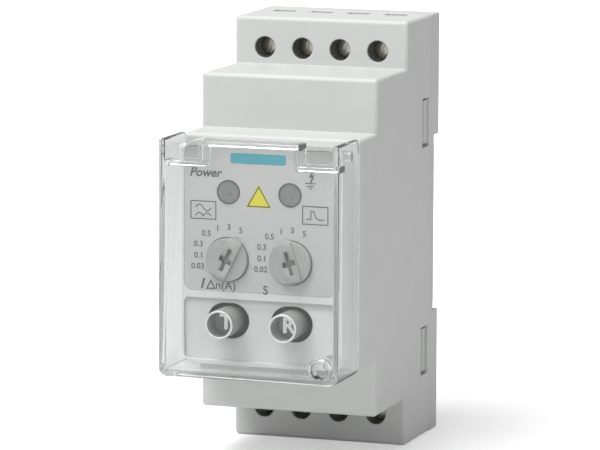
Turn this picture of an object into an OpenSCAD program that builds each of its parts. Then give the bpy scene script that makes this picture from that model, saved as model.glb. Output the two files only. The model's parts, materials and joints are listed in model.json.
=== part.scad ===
// Residual current monitoring relay, two modules wide, for a 35 mm top-hat rail.
// Millimetres. +X is right seen from the front, -Y is the front, +Z is up.
// The origin is the middle of the flat that seats on the rail, so a point that is
// d in front of the rail seat has y = -d.

/* [Housing] */
// Width of the housing
device_w = 36; // [35:0.1:45]
// Height of the housing at the terminals
device_h = 84.6; // [83:0.1:110]
// Height of the middle step
step_h = 66; // [60:0.1:70]
// Height of the nose that shows in a distribution board's window
nose_h = 45; // [44:0.1:50]
// Terminal face in front of the rail seat
terminal_face = 17.9; // [17:0.1:22]
// Face of the middle step in front of the rail seat
step_face = 37.1; // [35:0.1:46]
// Face of the nose in front of the rail seat
nose_face = 47.7; // [47:0.1:60]
// Joint between the housing and the rear base, in front of the rail seat
parting = 2; // [1.8:0.1:2.4]
// Wall of the housing
wall = 1.8; // [1.5:0.05:2]

/* [Rail seat] */
// Height of the recess that takes the rail
recess_h = 35.8; // [35.6:0.1:36.2]
// Depth of that recess
recess_d = 3.3; // [3:0.1:4]
// Floor of the rear base behind the rail seat
base_floor = 1.6; // [1.4:0.1:1.8]
// How far the hooks reach over the rail's edge
hook_reach = 1.5; // [1.2:0.1:1.8]
// Gap for the rail's flange in front of the hooks
rail_gap = 1.2; // [1.1:0.1:1.4]
// Width of the sliding latch
latch_w = 10; // [8:0.1:12]
// Height of the seat's land over the floor of the recess
land_h = 0.2; // [0.1:0.05:0.3]

/* [Terminals] */
// Distance between neighbouring terminals
terminal_pitch = 7.8; // [7.6:0.1:8.2]
// Terminal screw below the top edge of the housing
terminal_inset = 6.1; // [5.9:0.1:6.5]
// Radius of the screwdriver holes
access_r = 2.15; // [1.9:0.05:2.25]
// Radius of a terminal screw's head
screw_head_r = 2.35; // [2.3:0.05:2.5]
// Radius of a terminal screw's thread
screw_r = 1.5; // [1.25:0.05:1.6]
// Side of the wire window in a clamping cage, along X
wire_w = 4.4; // [4.2:0.1:4.6]
// Height of the wire window, along Y
wire_h = 3.4; // [3.2:0.1:3.6]
// Sheet of a clamping cage
cage_wall = 0.7; // [0.6:0.05:0.8]

/* [Front panel] */
// Face of the printed label in front of the rail seat, measured from the nose face
panel_rise = 6.2; // [5.8:0.1:7]
// Wall of the front panel
panel_wall = 1.4; // [1.2:0.1:1.6]
// Thickness of the label
label_t = 0.25; // [0.2:0.05:0.3]
// Depth of the recess round the buttons
button_field_d = 0.6; // [0.4:0.1:0.8]
// Lower edge of the label
label_bottom = -6.9; // [-7.2:0.1:-6.6]

/* [Cover] */
// Wall of the clear cover
cover_wall = 1.2; // [1:0.05:1.4]
// Face of the cover in front of the nose face
cover_rise = 13; // [12:0.1:15]
// Height of the cover
cover_h = 45.6; // [45.2:0.1:46.2]
// Width of a corner notch
notch_w = 6.7; // [6:0.1:7]
// Height of a corner notch
notch_h = 4; // [3.5:0.1:4.5]
// Depth of the rim behind the tongue and the notches
rim_depth = 4.7; // [3:0.1:4.8]
// Radius of a hinge pin
pin_r = 1; // [0.8:0.05:1.1]
// Radius of the sealing hole
seal_r = 1.7; // [1.5:0.05:1.8]

/* [Controls] */
// Distance of each control from the middle line
control_x = 6.4; // [6.2:0.05:6.6]
// Height of the selector knobs
knob_z = -0.7; // [-0.9:0.1:-0.5]
// Radius of a selector knob
knob_r = 4.15; // [3.5:0.05:4.3]
// Pointer of the sensitivity knob, counterclockwise from +X
sensitivity_angle = 64; // [60:1:190]
// Pointer of the delay knob, counterclockwise from +X
delay_angle = 108; // [60:1:190]
// Height of the two buttons
button_z = -12.6; // [-12.8:0.1:-12.4]
// Radius of a button
button_r = 2.8; // [2.4:0.05:2.9]
// Depth of the cup in a button's face
cup_d = 4.6; // [3:0.1:5]
// Travel of a button
button_travel = 1.2; // [1:0.1:1.3]
// Height of the two lamp windows
lamp_z = 12.3; // [12:0.1:12.6]
// Radius of a lamp window
lamp_r = 2.3; // [2:0.05:2.5]

/* [Electronics] */
// Thickness of the circuit boards
board_t = 1.6; // [1.4:0.1:1.6]
// Front board behind the nose face
front_board_set = 6.3; // [6.2:0.1:6.6]
// Radius of the supply capacitor
capacitor_r = 5; // [4:0.1:5]
// Stack height of the transformer core
core_stack = 9; // [7:0.1:9.5]

/* [Clearances] */
// Play of parts that slide or turn in each other
running = 0.06; // [0.03:0.01:0.1]
// Gap between parts that pass each other
gap = 0.3; // [0.2:0.05:0.4]
// Gap between parts that lie in each other
seat_gap = 0.1; // [0.05:0.05:0.15]

/* [Hidden] */
$fn = 48;
eps = 0.01;

half_w = device_w / 2;
half_h = device_h / 2;
half_step = step_h / 2;
half_nose = nose_h / 2;
half_recess = recess_h / 2;
half_cover = cover_h / 2;
land_half = half_recess - hook_reach - 0.4;
cavity_x = half_w - wall;

// Terminals: rows at +-terminal_z, columns by pitch.
terminal_z = half_h - terminal_inset;
TERMINALS = [for (row = [1, -1], col = [-1.5 : 1 : 1.5]) [col * terminal_pitch, row * terminal_z]];
head_t = 1.2;
access_depth = 4.1;
pocket_depth = 0.85;
guide_t = 0.65;
head_front = terminal_face - access_depth - seat_gap;
head_back = head_front - head_t;
guide_end = terminal_face - access_depth - pocket_depth;
wire_back = 3.6;
wire_front = wire_back + wire_h;
tongue_t = 0.8;
cage_back_wall = 1;
cage_front_wall = 1.2;
cage_front = wire_front + tongue_t + 0.4;
cage_len = 5;
cage_w = wire_w + 2 * cage_wall;
leg_z = terminal_z - cage_len / 2 - 1.7;
partition_t = terminal_pitch - cage_w - 0.8;

// Rear base.
window_d = [3.4, 7.8];
window_len = 9.8;
WINDOW_Z = [21, -25.1];
hook_arm_t = 1.4;
hook_arm_x = cavity_x - 2 * seat_gap;
post_z = [for (side = [-1, 1]) side * (terminal_z - 7.7)];
post_x = 11.2;
post_r = 2.4;
pocket_back = -1.5;

// Boards: each value is a distance in front of the rail seat.
main_back = 2.8;
main_front = main_back + board_t;
main_half_w = hook_arm_x - hook_arm_t - 0.4;
main_half_h = leg_z + 0.8;
front_board_front = nose_face - front_board_set;
front_board_back = front_board_front - board_t;
riser_x = -11.4 - board_t;

// Front panel: a raised block on the nose.
panel_face = nose_face + panel_rise - label_t;
label_face = panel_face + label_t;
panel_inside = panel_face - panel_wall;
field_face = label_face - button_field_d;
panel_half_w = half_w - cover_wall - 1.1;
panel_top = half_nose - 0.6;
panel_bottom = -(half_cover - cover_wall - 0.4);
panel_corner = 2.6;
label_top = panel_top - 1;
label_half_w = panel_half_w - 0.5;
skirt_half_w = panel_half_w - 1.7;
skirt_half_h = half_nose - 3.1;
skirt_t = 1.2;
skirt_back = nose_face - 2.4;
clip_z = 10;
field_top = label_bottom - 1.5;
screw_post_x = skirt_half_w - 1.7;
screw_post_z = skirt_half_h - 2.1;

// Cover.
cover_face = nose_face + cover_rise;
cover_back = nose_face + gap;
hinge_d = nose_face + 4.2;
hinge_z = panel_top - 1.9;
hinge_round = hinge_d - cover_back;
cover_corner = 1.6;
seal_x = half_w - 3.7;
seal_z = -half_cover + 2.9;
seal_wall = 0.7;

// Buttons, from the front back to the switch.
button_face = cover_face - cover_wall - 0.6;
well = [8.4, 2 * button_r + 1.2];
well_floor = panel_inside - 2.65;
well_floor_t = 1;
flange_front = well_floor - well_floor_t - gap;
flange_t = 0.9;
cup_wall = 0.45;
flange_r = button_r + 0.6;
switch_h = 3.5;
switch_half = 3;
switch_floor = 0.5;
switch_top = front_board_front + switch_h;
plunger_top = switch_top + 1;
plunger_r = 1.7;
spring_r = 2.25;
spring_wire_r = 0.2;

// Lamp windows lie a little closer together than the controls.
lamp_x = control_x - 0.2;
lens_rim = 0.8;
led_base = 0.9;
led_h = 1.5;

// Knobs.
knob_face = label_face + 1.3;
knob_disc = knob_face - 0.5;
knob_back = panel_inside + 0.3;
grip_half = 1.5;
driver_slot = [2.3, 0.4];
driver_cross = [0.5, 1.25];
driver_d = 1.3;
selector_h = 4.2;
selector_top = front_board_front + selector_h;
selector_w = 9.4;
stem_r = 1.6;

// Parts on the main board.
core_x = 3;
core_z = -16.5;
core_w = 24;
core_h = 20;
core_leg = 6;
core_mid = main_front + 10.1;
window_w = 5;
window_h = 12;
bobbin_t = 0.8;
bobbin_reach = 9;

// ---- Shapes -----------------------------------------------------------------

// A block between two x, two distances from the rail seat and two z.
module block(x, d, z) {
    translate([x[0], -d[1], z[0]]) cube([x[1] - x[0], d[1] - d[0], z[1] - z[0]]);
}

// A round bar along the depth, at x and z, between two distances.
module bar(x, z, d, r) {
    translate([x, -d[0], z]) rotate([90, 0, 0]) cylinder(h = d[1] - d[0], r = r);
}

// A front outline given in x and z, as thick as two distances.
module plate(d) {
    translate([0, -d[0], 0]) rotate([90, 0, 0]) linear_extrude(d[1] - d[0]) children();
}

// A side outline given in distance and z, between two x.
module side(x) {
    translate([x[1], 0, 0]) rotate([90, 0, -90]) linear_extrude(x[1] - x[0]) children();
}

// A rectangle between two corners.
module rect(low, high) {
    translate(low) square(high - low);
}

// The same with round corners.
module round_rect(low, high, r) {
    rect([low[0] + r, low[1]], [high[0] - r, high[1]]);
    rect([low[0], low[1] + r], [high[0], high[1] - r]);
    for (x = [low[0] + r, high[0] - r], z = [low[1] + r, high[1] - r])
        translate([x, z]) circle(r);
}

// A slot with round ends, size along x and z.
module obround(size) {
    r = size[1] / 2;
    rect([-size[0] / 2 + r, -r], [size[0] / 2 - r, r]);
    for (side = [-1, 1]) translate([side * (size[0] / 2 - r), 0]) circle(r);
}

// A compression spring standing on the XY plane along +Z.
module coil_spring(r, wire_r, length, turns) {
    sides = 8;
    steps = 14;
    rings = turns * steps;
    rise = length - 2 * wire_r;
    function ring_point(i, j) =
        let (a = 360 * i / steps, b = 360 * j / sides, q = r + wire_r * cos(b))
        [q * cos(a), q * sin(a), wire_r + rise * i / rings + wire_r * sin(b)];
    points = [for (i = [0 : rings], j = [0 : sides - 1]) ring_point(i, j)];
    start_cap = [[for (j = [0 : sides - 1]) j]];
    end_cap = [[for (j = [sides - 1 : -1 : 0]) rings * sides + j]];
    skin = [for (i = [0 : rings - 1], j = [0 : sides - 1])
        let (a = i * sides + j, b = i * sides + (j + 1) % sides)
        [a, a + sides, b + sides, b]];
    polyhedron(points, concat(start_cap, skin, end_cap));
}

// ---- Housing ----------------------------------------------------------------

// Three steps from the terminals to the nose.
module housing_outline(inset) {
    x = half_w - inset;
    block([-x, x], [parting - (inset > 0 ? eps : 0), terminal_face - inset],
        [-half_h + inset, half_h - inset]);
    block([-x, x], [parting, step_face - inset], [-half_step + inset, half_step - inset]);
    block([-x, x], [parting, nose_face - inset], [-half_nose + inset, half_nose - inset]);
}

// Walls between neighbouring terminals, which also guide the clamping cages.
module terminal_partitions() {
    inner_z = leg_z + 1.6;
    for (row = [-1, 1], col = [-1 : 1])
        block([col * terminal_pitch - partition_t / 2, col * terminal_pitch + partition_t / 2],
            [main_front + 0.5, terminal_face - wall + eps],
            row > 0 ? [inner_z, half_h - wall + eps] : [-half_h + wall - eps, -inner_z]);
}

// Tubes that lead the screwdriver down to the heads.
module screwdriver_guides() {
    for (t = TERMINALS)
        bar(t[0], t[1], [guide_end, terminal_face - wall + eps], screw_head_r + running + guide_t);
}

// Screwdriver hole, seat of the screw's head and wire entry of one terminal.
module terminal_cuts(x, z) {
    row = sign(z);
    bar(x, z, [terminal_face - access_depth - eps, terminal_face + eps], access_r);
    bar(x, z, [guide_end - eps, terminal_face - access_depth], screw_head_r + running);
    entry = [half_h - wall - eps, half_h + eps];
    block([x - wire_w / 2 - 0.1, x + wire_w / 2 + 0.1], [wire_back, wire_front],
        row > 0 ? entry : [-entry[1], -entry[0]]);
}

module front_housing() {
    color("gainsboro") difference() {
        union() {
            difference() {
                housing_outline(0);
                housing_outline(wall);
            }
            terminal_partitions();
            screwdriver_guides();
        }
        plate([nose_face - wall - eps, nose_face + eps])
            rect([-skirt_half_w - seat_gap, -skirt_half_h - seat_gap],
                [skirt_half_w + seat_gap, skirt_half_h + seat_gap]);
        for (t = TERMINALS) terminal_cuts(t[0], t[1]);
        for (side = [-1, 1], z = WINDOW_Z)
            block(side > 0 ? [cavity_x - eps, half_w + eps] : [-half_w - eps, -cavity_x + eps],
                window_d, [z - window_len / 2, z + window_len / 2]);
    }
}

// ---- Rear base and rail latch -----------------------------------------------

channel_top = -half_recess - 1.3;
latch_floor = -0.9;
latch_half = latch_w / 2;
latch_lip = 1;
latch_ledge = -2.1;
latch_back = -2.9;
latch_slide = 0.2;
peg_z = -half_recess - 15.5;
peg_half = 0.6;
hook_x = [5, 12];
latch_window = [-half_recess - 20, -half_recess - 6.1];

// Snap arms that hold the housing at the slots in its sides.
module snap_arms() {
    for (side = [-1, 1], z = WINDOW_Z) mirror([side > 0 ? 0 : 1, 0, 0]) {
        span = [z - window_len / 2 + 0.6, z + window_len / 2 - 0.6];
        block([hook_arm_x - hook_arm_t, hook_arm_x], [pocket_back - eps, window_d[1] - 0.4], span);
        block([hook_arm_x - eps, half_w - 0.5], [window_d[0] + seat_gap, window_d[0] + 2.4], span);
    }
}

module rear_base() {
    color("gainsboro") {
        difference() {
            block([-half_w, half_w], [-recess_d, parting], [-half_h, half_h]);
            block([-half_w - eps, half_w + eps], [-recess_d - eps, 0], [-half_recess, half_recess]);
            for (side = [-1, 1]) mirror([0, 0, side > 0 ? 0 : 1])
                block([-half_w - eps, half_w + eps], [-eps, land_h], [land_half, half_recess]);
            block([-cavity_x, cavity_x], [base_floor, parting + eps],
                [-half_h + wall, half_h - wall]);
            block([-cavity_x, cavity_x], [pocket_back, parting],
                [half_recess + 2, half_h - wall]);
            for (side = [-1, 1])
                block(side > 0 ? [latch_half + 2, cavity_x] : [-cavity_x, -latch_half - 2],
                    [pocket_back, parting], [-half_h + wall, -half_recess - 2]);
            block([-latch_half - latch_slide, latch_half + latch_slide],
                [latch_ledge, latch_floor], [-half_h - eps, channel_top]);
            block([-latch_half + latch_lip - latch_slide, latch_half - latch_lip + latch_slide],
                [-recess_d - eps, latch_floor], [-half_h - eps, -half_recess + eps]);
        }
        block([-1.3, 1.3], [latch_back + 0.2, latch_floor + eps], [peg_z - peg_half, peg_z + peg_half]);
        for (side = [-1, 1]) mirror([side > 0 ? 0 : 1, 0, 0])
            block(hook_x, [-recess_d, -rail_gap], [half_recess - hook_reach, half_recess + eps]);
        snap_arms();
        difference() {
            for (x = [-post_x, post_x], z = post_z) bar(x, z, [pocket_back - eps, main_back], post_r);
            for (x = [-post_x, post_x], z = post_z) bar(x, z, [pocket_back + 0.5, main_back + eps],
                1 + running);
        }
    }
}

// Spring-loaded slide that grips the lower edge of the rail.
module rail_latch() {
    wide = [latch_ledge + latch_slide, latch_floor - latch_slide];
    nose_top = -half_recess + hook_reach;
    bottom = -half_h + 0.3;
    neck = latch_half - latch_lip;
    color("darkgray") difference() {
        union() {
            block([-latch_half, latch_half], wide, [bottom, channel_top - gap]);
            side([-neck, neck]) polygon([[-rail_gap, bottom], [-rail_gap, nose_top],
                [-rail_gap - 0.5, nose_top], [latch_back, nose_top - 1.2], [latch_back, bottom]]);
        }
        block([-1.6, 1.6], [latch_back - eps, 0], latch_window);
        block([-2.5, 2.5], [latch_back - eps, 0], [bottom + 0.8, bottom + 2.4]);
    }
}

module latch_spring() {
    start = peg_z + peg_half;
    color("silver") translate([0, 1.9, start])
        coil_spring(0.7, 0.14, latch_window[1] - start, 9);
}

// ---- Front panel and label --------------------------------------------------

// Openings of the panel that the label shares.
module control_holes() {
    for (side = [-1, 1]) {
        translate([side * control_x, knob_z]) circle(knob_r + 0.2);
        translate([side * lamp_x, lamp_z]) circle(lamp_r + running);
    }
}

module label_outline(shrink) {
    round_rect([-label_half_w + shrink, label_bottom + shrink],
        [label_half_w - shrink, label_top - shrink], 1.6);
}

module front_panel() {
    color("lightgray") difference() {
        union() {
            difference() {
                plate([nose_face, label_face]) round_rect([-panel_half_w, panel_bottom],
                    [panel_half_w, panel_top], panel_corner);
                plate([nose_face - eps, panel_inside])
                    rect([-skirt_half_w + skirt_t, -skirt_half_h + skirt_t],
                        [skirt_half_w - skirt_t, skirt_half_h - skirt_t]);
            }
            // Skirt inside the nose, with four clips behind the nose wall.
            difference() {
                plate([skirt_back, nose_face + eps]) rect([-skirt_half_w, -skirt_half_h],
                    [skirt_half_w, skirt_half_h]);
                plate([skirt_back - eps, nose_face + 1])
                    rect([-skirt_half_w + skirt_t, -skirt_half_h + skirt_t],
                        [skirt_half_w - skirt_t, skirt_half_h - skirt_t]);
            }
            for (side = [-1, 1], z = [-clip_z, clip_z]) mirror([side > 0 ? 0 : 1, 0, 0])
                block([skirt_half_w - eps, skirt_half_w + 0.7],
                    [skirt_back, nose_face - wall - seat_gap], [z - 2, z + 2]);
            // Wells round the buttons and posts for the front board.
            for (side = [-1, 1]) translate([side * control_x, 0, button_z])
                plate([well_floor - well_floor_t, panel_inside + eps]) obround(well + [2, 2]);
            for (x = [-screw_post_x, screw_post_x], z = [-screw_post_z, screw_post_z])
                bar(x, z, [front_board_front, panel_inside + eps], 1.6);
        }
        plate([panel_face, label_face + 1]) label_outline(0);
        plate([field_face, label_face + 1]) round_rect([-label_half_w, panel_bottom + 0.9],
            [label_half_w, field_top], 1);
        plate([panel_inside - 1, label_face]) control_holes();
        for (side = [-1, 1]) {
            translate([side * control_x, 0, button_z])
                plate([well_floor, label_face]) obround(well);
            bar(side * control_x, button_z, [well_floor - 2, well_floor + 1], button_r + running);
        }
        bar(seal_x, seal_z, [panel_inside + 0.3, label_face + 1], seal_r);
        for (x = [-screw_post_x, screw_post_x], z = [-screw_post_z, screw_post_z])
            bar(x, z, [front_board_front - eps, front_board_front + 5], 0.8 + running);
        for (side = [-1, 1]) mirror([side > 0 ? 0 : 1, 0, 0])
            translate([panel_half_w - 1.6, -hinge_d, hinge_z]) rotate([0, 90, 0])
                cylinder(h = 2, r = pin_r + running);
    }
}

module front_label() {
    color("whitesmoke") plate([panel_face, label_face]) difference() {
        label_outline(0.05);
        control_holes();
    }
}

// ---- Cover ------------------------------------------------------------------

// Side wall in distance and z, cut round at the hinge so that it can swing.
module cover_side_outline() {
    rect([hinge_d, -half_cover], [cover_face, half_cover]);
    rect([cover_back, -half_cover], [hinge_d + eps, hinge_z]);
    intersection() {
        translate([hinge_d, hinge_z]) circle(hinge_round);
        rect([cover_back, hinge_z - eps], [hinge_d + eps, half_cover]);
    }
}

// Rim behind the edges of the tongue and of the corner notches.
module cover_rim(inside) {
    tongue_half = inside - notch_w;
    notch_bottom = half_cover - notch_h;
    depth = [cover_face - rim_depth, cover_face - cover_wall + eps];
    block([-tongue_half, tongue_half], depth, [half_cover - cover_wall, half_cover]);
    for (side = [-1, 1]) mirror([side > 0 ? 0 : 1, 0, 0]) {
        block([tongue_half - cover_wall, tongue_half], depth, [notch_bottom - cover_wall, half_cover]);
        block([tongue_half - cover_wall, inside + eps], depth, [notch_bottom - cover_wall, notch_bottom]);
    }
}

module hinged_cover() {
    inside = half_w - cover_wall;
    color([0.85, 0.9, 0.9, 0.4]) difference() {
        union() {
            plate([cover_face - cover_wall, cover_face])
                round_rect([-half_w, -half_cover], [half_w, half_cover], cover_corner);
            for (x = [[-half_w, -inside], [inside, half_w]]) side(x) cover_side_outline();
            block([-half_w, half_w], [cover_back, cover_face - cover_wall + eps],
                [-half_cover, -half_cover + cover_wall]);
            for (side = [-1, 1]) mirror([side > 0 ? 0 : 1, 0, 0])
                translate([panel_half_w - 1.3, -hinge_d, hinge_z]) rotate([0, 90, 0])
                    cylinder(h = inside - panel_half_w + 1.3 + eps, r = pin_r);
            bar(seal_x, seal_z, [cover_face - cover_wall - 1.6, cover_face - eps], seal_r + seal_wall);
            cover_rim(inside);
        }
        // Corner notches beside the side walls.
        for (side = [-1, 1]) mirror([side > 0 ? 0 : 1, 0, 0])
            block([inside - notch_w, inside], [cover_face - cover_wall - eps, cover_face + eps],
                [half_cover - notch_h, half_cover + eps]);
        bar(seal_x, seal_z, [cover_face - 4, cover_face + 1], seal_r);
        // Square corners of the walls follow the round corners of the front.
        for (side = [-1, 1]) mirror([side > 0 ? 0 : 1, 0, 0])
            plate([nose_face, cover_face + 1]) difference() {
                rect([half_w - cover_corner, -half_cover - 1], [half_w + 1, -half_cover + cover_corner]);
                translate([half_w - cover_corner, -half_cover + cover_corner]) circle(cover_corner);
            }
    }
}

// ---- Controls and lamps -----------------------------------------------------

// Knob round the origin, pointer along +X; the plate's distances are absolute.
module knob_shape() {
    bar(0, 0, [knob_back, knob_disc], knob_r);
    bar(0, 0, [front_board_front + 1.5, knob_back + eps], stem_r);
    plate([label_face + 0.2, knob_disc])
        polygon([[knob_r * cos(40), -knob_r * sin(40)], [knob_r + 0.9, 0],
            [knob_r * cos(40), knob_r * sin(40)]]);
    plate([knob_disc - 0.1, knob_face])
        rect([-knob_r + 0.4, -grip_half], [knob_r - 0.1, grip_half]);
}

module knob(x, angle) {
    color("gray") translate([x, 0, knob_z]) rotate([0, -angle, 0]) difference() {
        knob_shape();
        for (half = [driver_slot, driver_cross])
            plate([knob_face - driver_d, knob_face + 1]) rect(-half, half);
    }
}

module sensitivity_knob() { knob(-control_x, sensitivity_angle); }
module delay_knob() { knob(control_x, delay_angle); }

module button(x) {
    color("darkgray") difference() {
        union() {
            bar(x, button_z, [flange_front - eps, button_face], button_r);
            bar(x, button_z, [flange_front - flange_t, flange_front], flange_r);
            bar(x, button_z, [plunger_top, flange_front - flange_t + eps], 1.2);
        }
        bar(x, button_z, [button_face - cup_d, button_face + 1], button_r - cup_wall);
    }
}

module test_button() { button(-control_x); }
module reset_button() { button(control_x); }

module button_spring(x) {
    length = flange_front - flange_t - switch_top;
    color("silver") translate([x, -switch_top, button_z]) rotate([90, 0, 0])
        coil_spring(spring_r, spring_wire_r, length, 4);
}

module test_spring() { button_spring(-control_x); }
module reset_spring() { button_spring(control_x); }

module push_switch(x) {
    color("dimgray") difference() {
        block([x - switch_half, x + switch_half], [front_board_front, switch_top],
            [button_z - switch_half, button_z + switch_half]);
        bar(x, button_z, [front_board_front + switch_floor, switch_top + 1], plunger_r + running);
    }
}

module test_switch() { push_switch(-control_x); }
module reset_switch() { push_switch(control_x); }

module plunger(x) {
    low = front_board_front + switch_floor + button_travel + 0.2;
    color("black") bar(x, button_z, [low, plunger_top], plunger_r);
}

module test_plunger() { plunger(-control_x); }
module reset_plunger() { plunger(control_x); }

module selector(x) {
    half = selector_w / 2;
    color("dimgray") difference() {
        block([x - half, x + half], [front_board_front, selector_top],
            [knob_z - half, knob_z + half]);
        bar(x, knob_z, [front_board_front + 1.2, selector_top + 1], stem_r + running);
    }
}

module sensitivity_selector() { selector(-control_x); }
module delay_selector() { selector(control_x); }

module lens(x) {
    color("darkgray") {
        bar(x, lamp_z, [panel_inside - eps, label_face + 0.1], lamp_r);
        bar(x, lamp_z, [panel_inside - lens_rim, panel_inside], lamp_r + 0.6);
        bar(x, lamp_z, [front_board_front + led_h + 0.4, panel_inside - lens_rim + eps], 1.8);
    }
}

module power_lens() { lens(-lamp_x); }
module trip_lens() { lens(lamp_x); }

module led(x, tint) {
    color(tint) {
        block([x - 1.5, x + 1.5], [front_board_front, front_board_front + led_base],
            [lamp_z - 1.3, lamp_z + 1.3]);
        bar(x, lamp_z, [front_board_front + led_base - eps, front_board_front + led_h], 1.1);
    }
}

module power_led() { led(-lamp_x, "palegreen"); }
module trip_led() { led(lamp_x, "salmon"); }

// ---- Boards -----------------------------------------------------------------

module front_board() {
    half_x = skirt_half_w + 0.4;
    half_z = skirt_half_h - 0.4;
    color("darkgreen") plate([front_board_back, front_board_front]) difference() {
        rect([-half_x, -half_z], [half_x, half_z]);
        for (x = [-screw_post_x, screw_post_x], z = [-screw_post_z, screw_post_z])
            translate([x, z]) circle(1);
    }
}

module main_board() {
    color("darkgreen") plate([main_back, main_front]) difference() {
        rect([-main_half_w, -main_half_h], [main_half_w, main_half_h]);
        for (x = [-post_x, post_x], z = post_z) translate([x, z]) circle(1.15);
        for (t = TERMINALS) translate([t[0], sign(t[1]) * (leg_z - 0.4)]) square([1.4, 1], center = true);
    }
}

module riser_board() {
    color("darkgreen") block([riser_x, riser_x + board_t], [main_front, front_board_back],
        [-15, 15]);
}

module microcontroller() {
    color("black") {
        block([-0.5, 6.5], [front_board_back - 1.4, front_board_back - 0.1], [4.5, 11.5]);
        for (i = [0 : 7], side = [-1, 1])
            block([i * 0.8 + 0.1, i * 0.8 + 0.4], [front_board_back - 0.7, front_board_back],
                [8 + side * 3.95 - 0.5, 8 + side * 3.95 + 0.5]);
    }
}

module signal_amplifier() {
    face = riser_x + board_t;
    color("black") {
        block([face + 0.1, face + 1.6], [28, 33], [2.1, 5.9]);
        for (i = [0 : 3], side = [-1, 1])
            block([face, face + 0.7], [28.4 + i * 1.27, 28.8 + i * 1.27],
                [4 + side * 2.3 - 0.5, 4 + side * 2.3 + 0.5]);
    }
}

module transformer_core() {
    color("slategray") plate([core_mid - core_stack / 2, core_mid + core_stack / 2])
        translate([core_x, core_z]) difference() {
            square([core_w, core_h], center = true);
            for (side = [-1, 1])
                translate([side * (core_leg + window_w) / 2, 0])
                    square([window_w, window_h], center = true);
        }
}

bobbin_in = [core_leg + 2 * seat_gap, core_stack + 2 * seat_gap];
bobbin_out = bobbin_in + [2 * bobbin_t, 2 * bobbin_t];
flange_half = core_leg / 2 + window_w - seat_gap;

// A block centred on the core's middle leg, size along x and along the depth.
module on_leg(size, z) {
    translate([core_x - size[0] / 2, -core_mid - size[1] / 2, core_z + z[0]])
        cube([size[0], size[1], z[1] - z[0]]);
}

module transformer_bobbin() {
    top = window_h / 2 - seat_gap;
    color("ivory") difference() {
        union() {
            on_leg(bobbin_out, [-top, top]);
            for (z = [[-top, -top + bobbin_t], [top - bobbin_t, top]])
                on_leg([2 * flange_half, 2 * bobbin_reach], z);
            for (side = [-1, 1], z = [-top, top - bobbin_t])
                block([core_x + side * 5 - 1, core_x + side * 5 + 1],
                    [main_front, core_mid - bobbin_reach + eps],
                    [core_z + z, core_z + z + bobbin_t]);
        }
        on_leg(bobbin_in, [-window_h, window_h]);
    }
}

module transformer_winding() {
    top = window_h / 2 - seat_gap - bobbin_t;
    color("chocolate") difference() {
        on_leg([2 * flange_half - 0.8, 2 * bobbin_reach - 0.8], [-top, top]);
        on_leg(bobbin_out, [-window_h, window_h]);
    }
}

module output_relay() {
    color("royalblue") block([-0.3, 14.1], [main_front, main_front + 15.6], [4, 23]);
}

module supply_capacitor() {
    top = 16;
    bead = 2;
    color("midnightblue") translate([-0.6 - capacitor_r, -main_front, 12]) rotate([90, 0, 0])
        rotate_extrude() polygon([[0, 0], [capacitor_r, 0], [capacitor_r, bead - 0.4],
            [capacitor_r - 0.4, bead], [capacitor_r, bead + 0.4], [capacitor_r, top - 0.4],
            [capacitor_r - 0.4, top], [0, top]]);
}

module filter_capacitor() {
    color("khaki") block([-0.5, 8.6], [main_front, main_front + 11], [24.6, 30.2]);
}

module surge_varistor() {
    lift = main_front + 5.4;
    color("cornflowerblue") {
        translate([-6, -lift, 25.2]) cylinder(h = 3.6, r = 4.4);
        for (side = [-1, 1]) bar(-6 + side * 2.5, 27, [main_front, lift], 0.35);
    }
}

module rectifier() {
    color("black") block([-10, -3.5], [main_front, main_front + 3.2], [-3.8, 3]);
}

module burden_resistors() {
    lift = main_front + 1.5;
    color("tan") for (z = [-3.6, 0.2]) {
        translate([4, -lift, z]) rotate([0, 90, 0]) cylinder(h = 6.5, r = 1.2);
        translate([3, -lift, z]) rotate([0, 90, 0]) cylinder(h = 8.5, r = 0.3);
        for (x = [3.2, 11.3]) bar(x, z, [main_front, lift + 0.2], 0.3);
    }
}

// ---- Fasteners --------------------------------------------------------------

module round_screw(x, z, seat, dir, head_r, r, length) {
    // dir 1: the head lies in front of its seat; dir -1: behind it.
    head = dir > 0 ? [seat, seat + 1.2] : [seat - 1, seat];
    shank = dir > 0 ? [seat - length, seat + eps] : [seat - eps, seat + length];
    slot = dir > 0 ? [head[1] - 0.6, head[1] + eps] : [head[0] - eps, head[0] + 0.5];
    difference() {
        union() {
            bar(x, z, head, head_r);
            bar(x, z, shank, r);
        }
        translate([x, 0, z]) block([-0.3, 0.3], slot, [-head_r, head_r]);
        translate([x, 0, z]) block([-head_r, head_r], slot, [-0.3, 0.3]);
    }
}

module board_screws() {
    color("silver") for (x = [-post_x, post_x], z = post_z)
        round_screw(x, z, main_front, 1, 1.9, 1, 5);
}

module panel_screws() {
    color("silver")
        for (x = [-screw_post_x, screw_post_x], z = [-screw_post_z, screw_post_z])
            round_screw(x, z, front_board_back, -1, 1.5, 0.8, 5.5);
}

// ---- Terminals --------------------------------------------------------------

// Fixed tongue that the wire is clamped against, with a leg to the main board.
module terminal_contacts() {
    tongue_w = wire_w - 0.4;
    color("goldenrod") for (t = TERMINALS) mirror([0, 0, t[1] > 0 ? 0 : 1]) {
        block([t[0] - tongue_w / 2, t[0] + tongue_w / 2], [wire_front, wire_front + tongue_t],
            [leg_z - 0.8, terminal_z + 3]);
        block([t[0] - 0.6, t[0] + 0.6], [main_back - 0.9, wire_front + eps], [leg_z - 0.8, leg_z]);
    }
}

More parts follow.
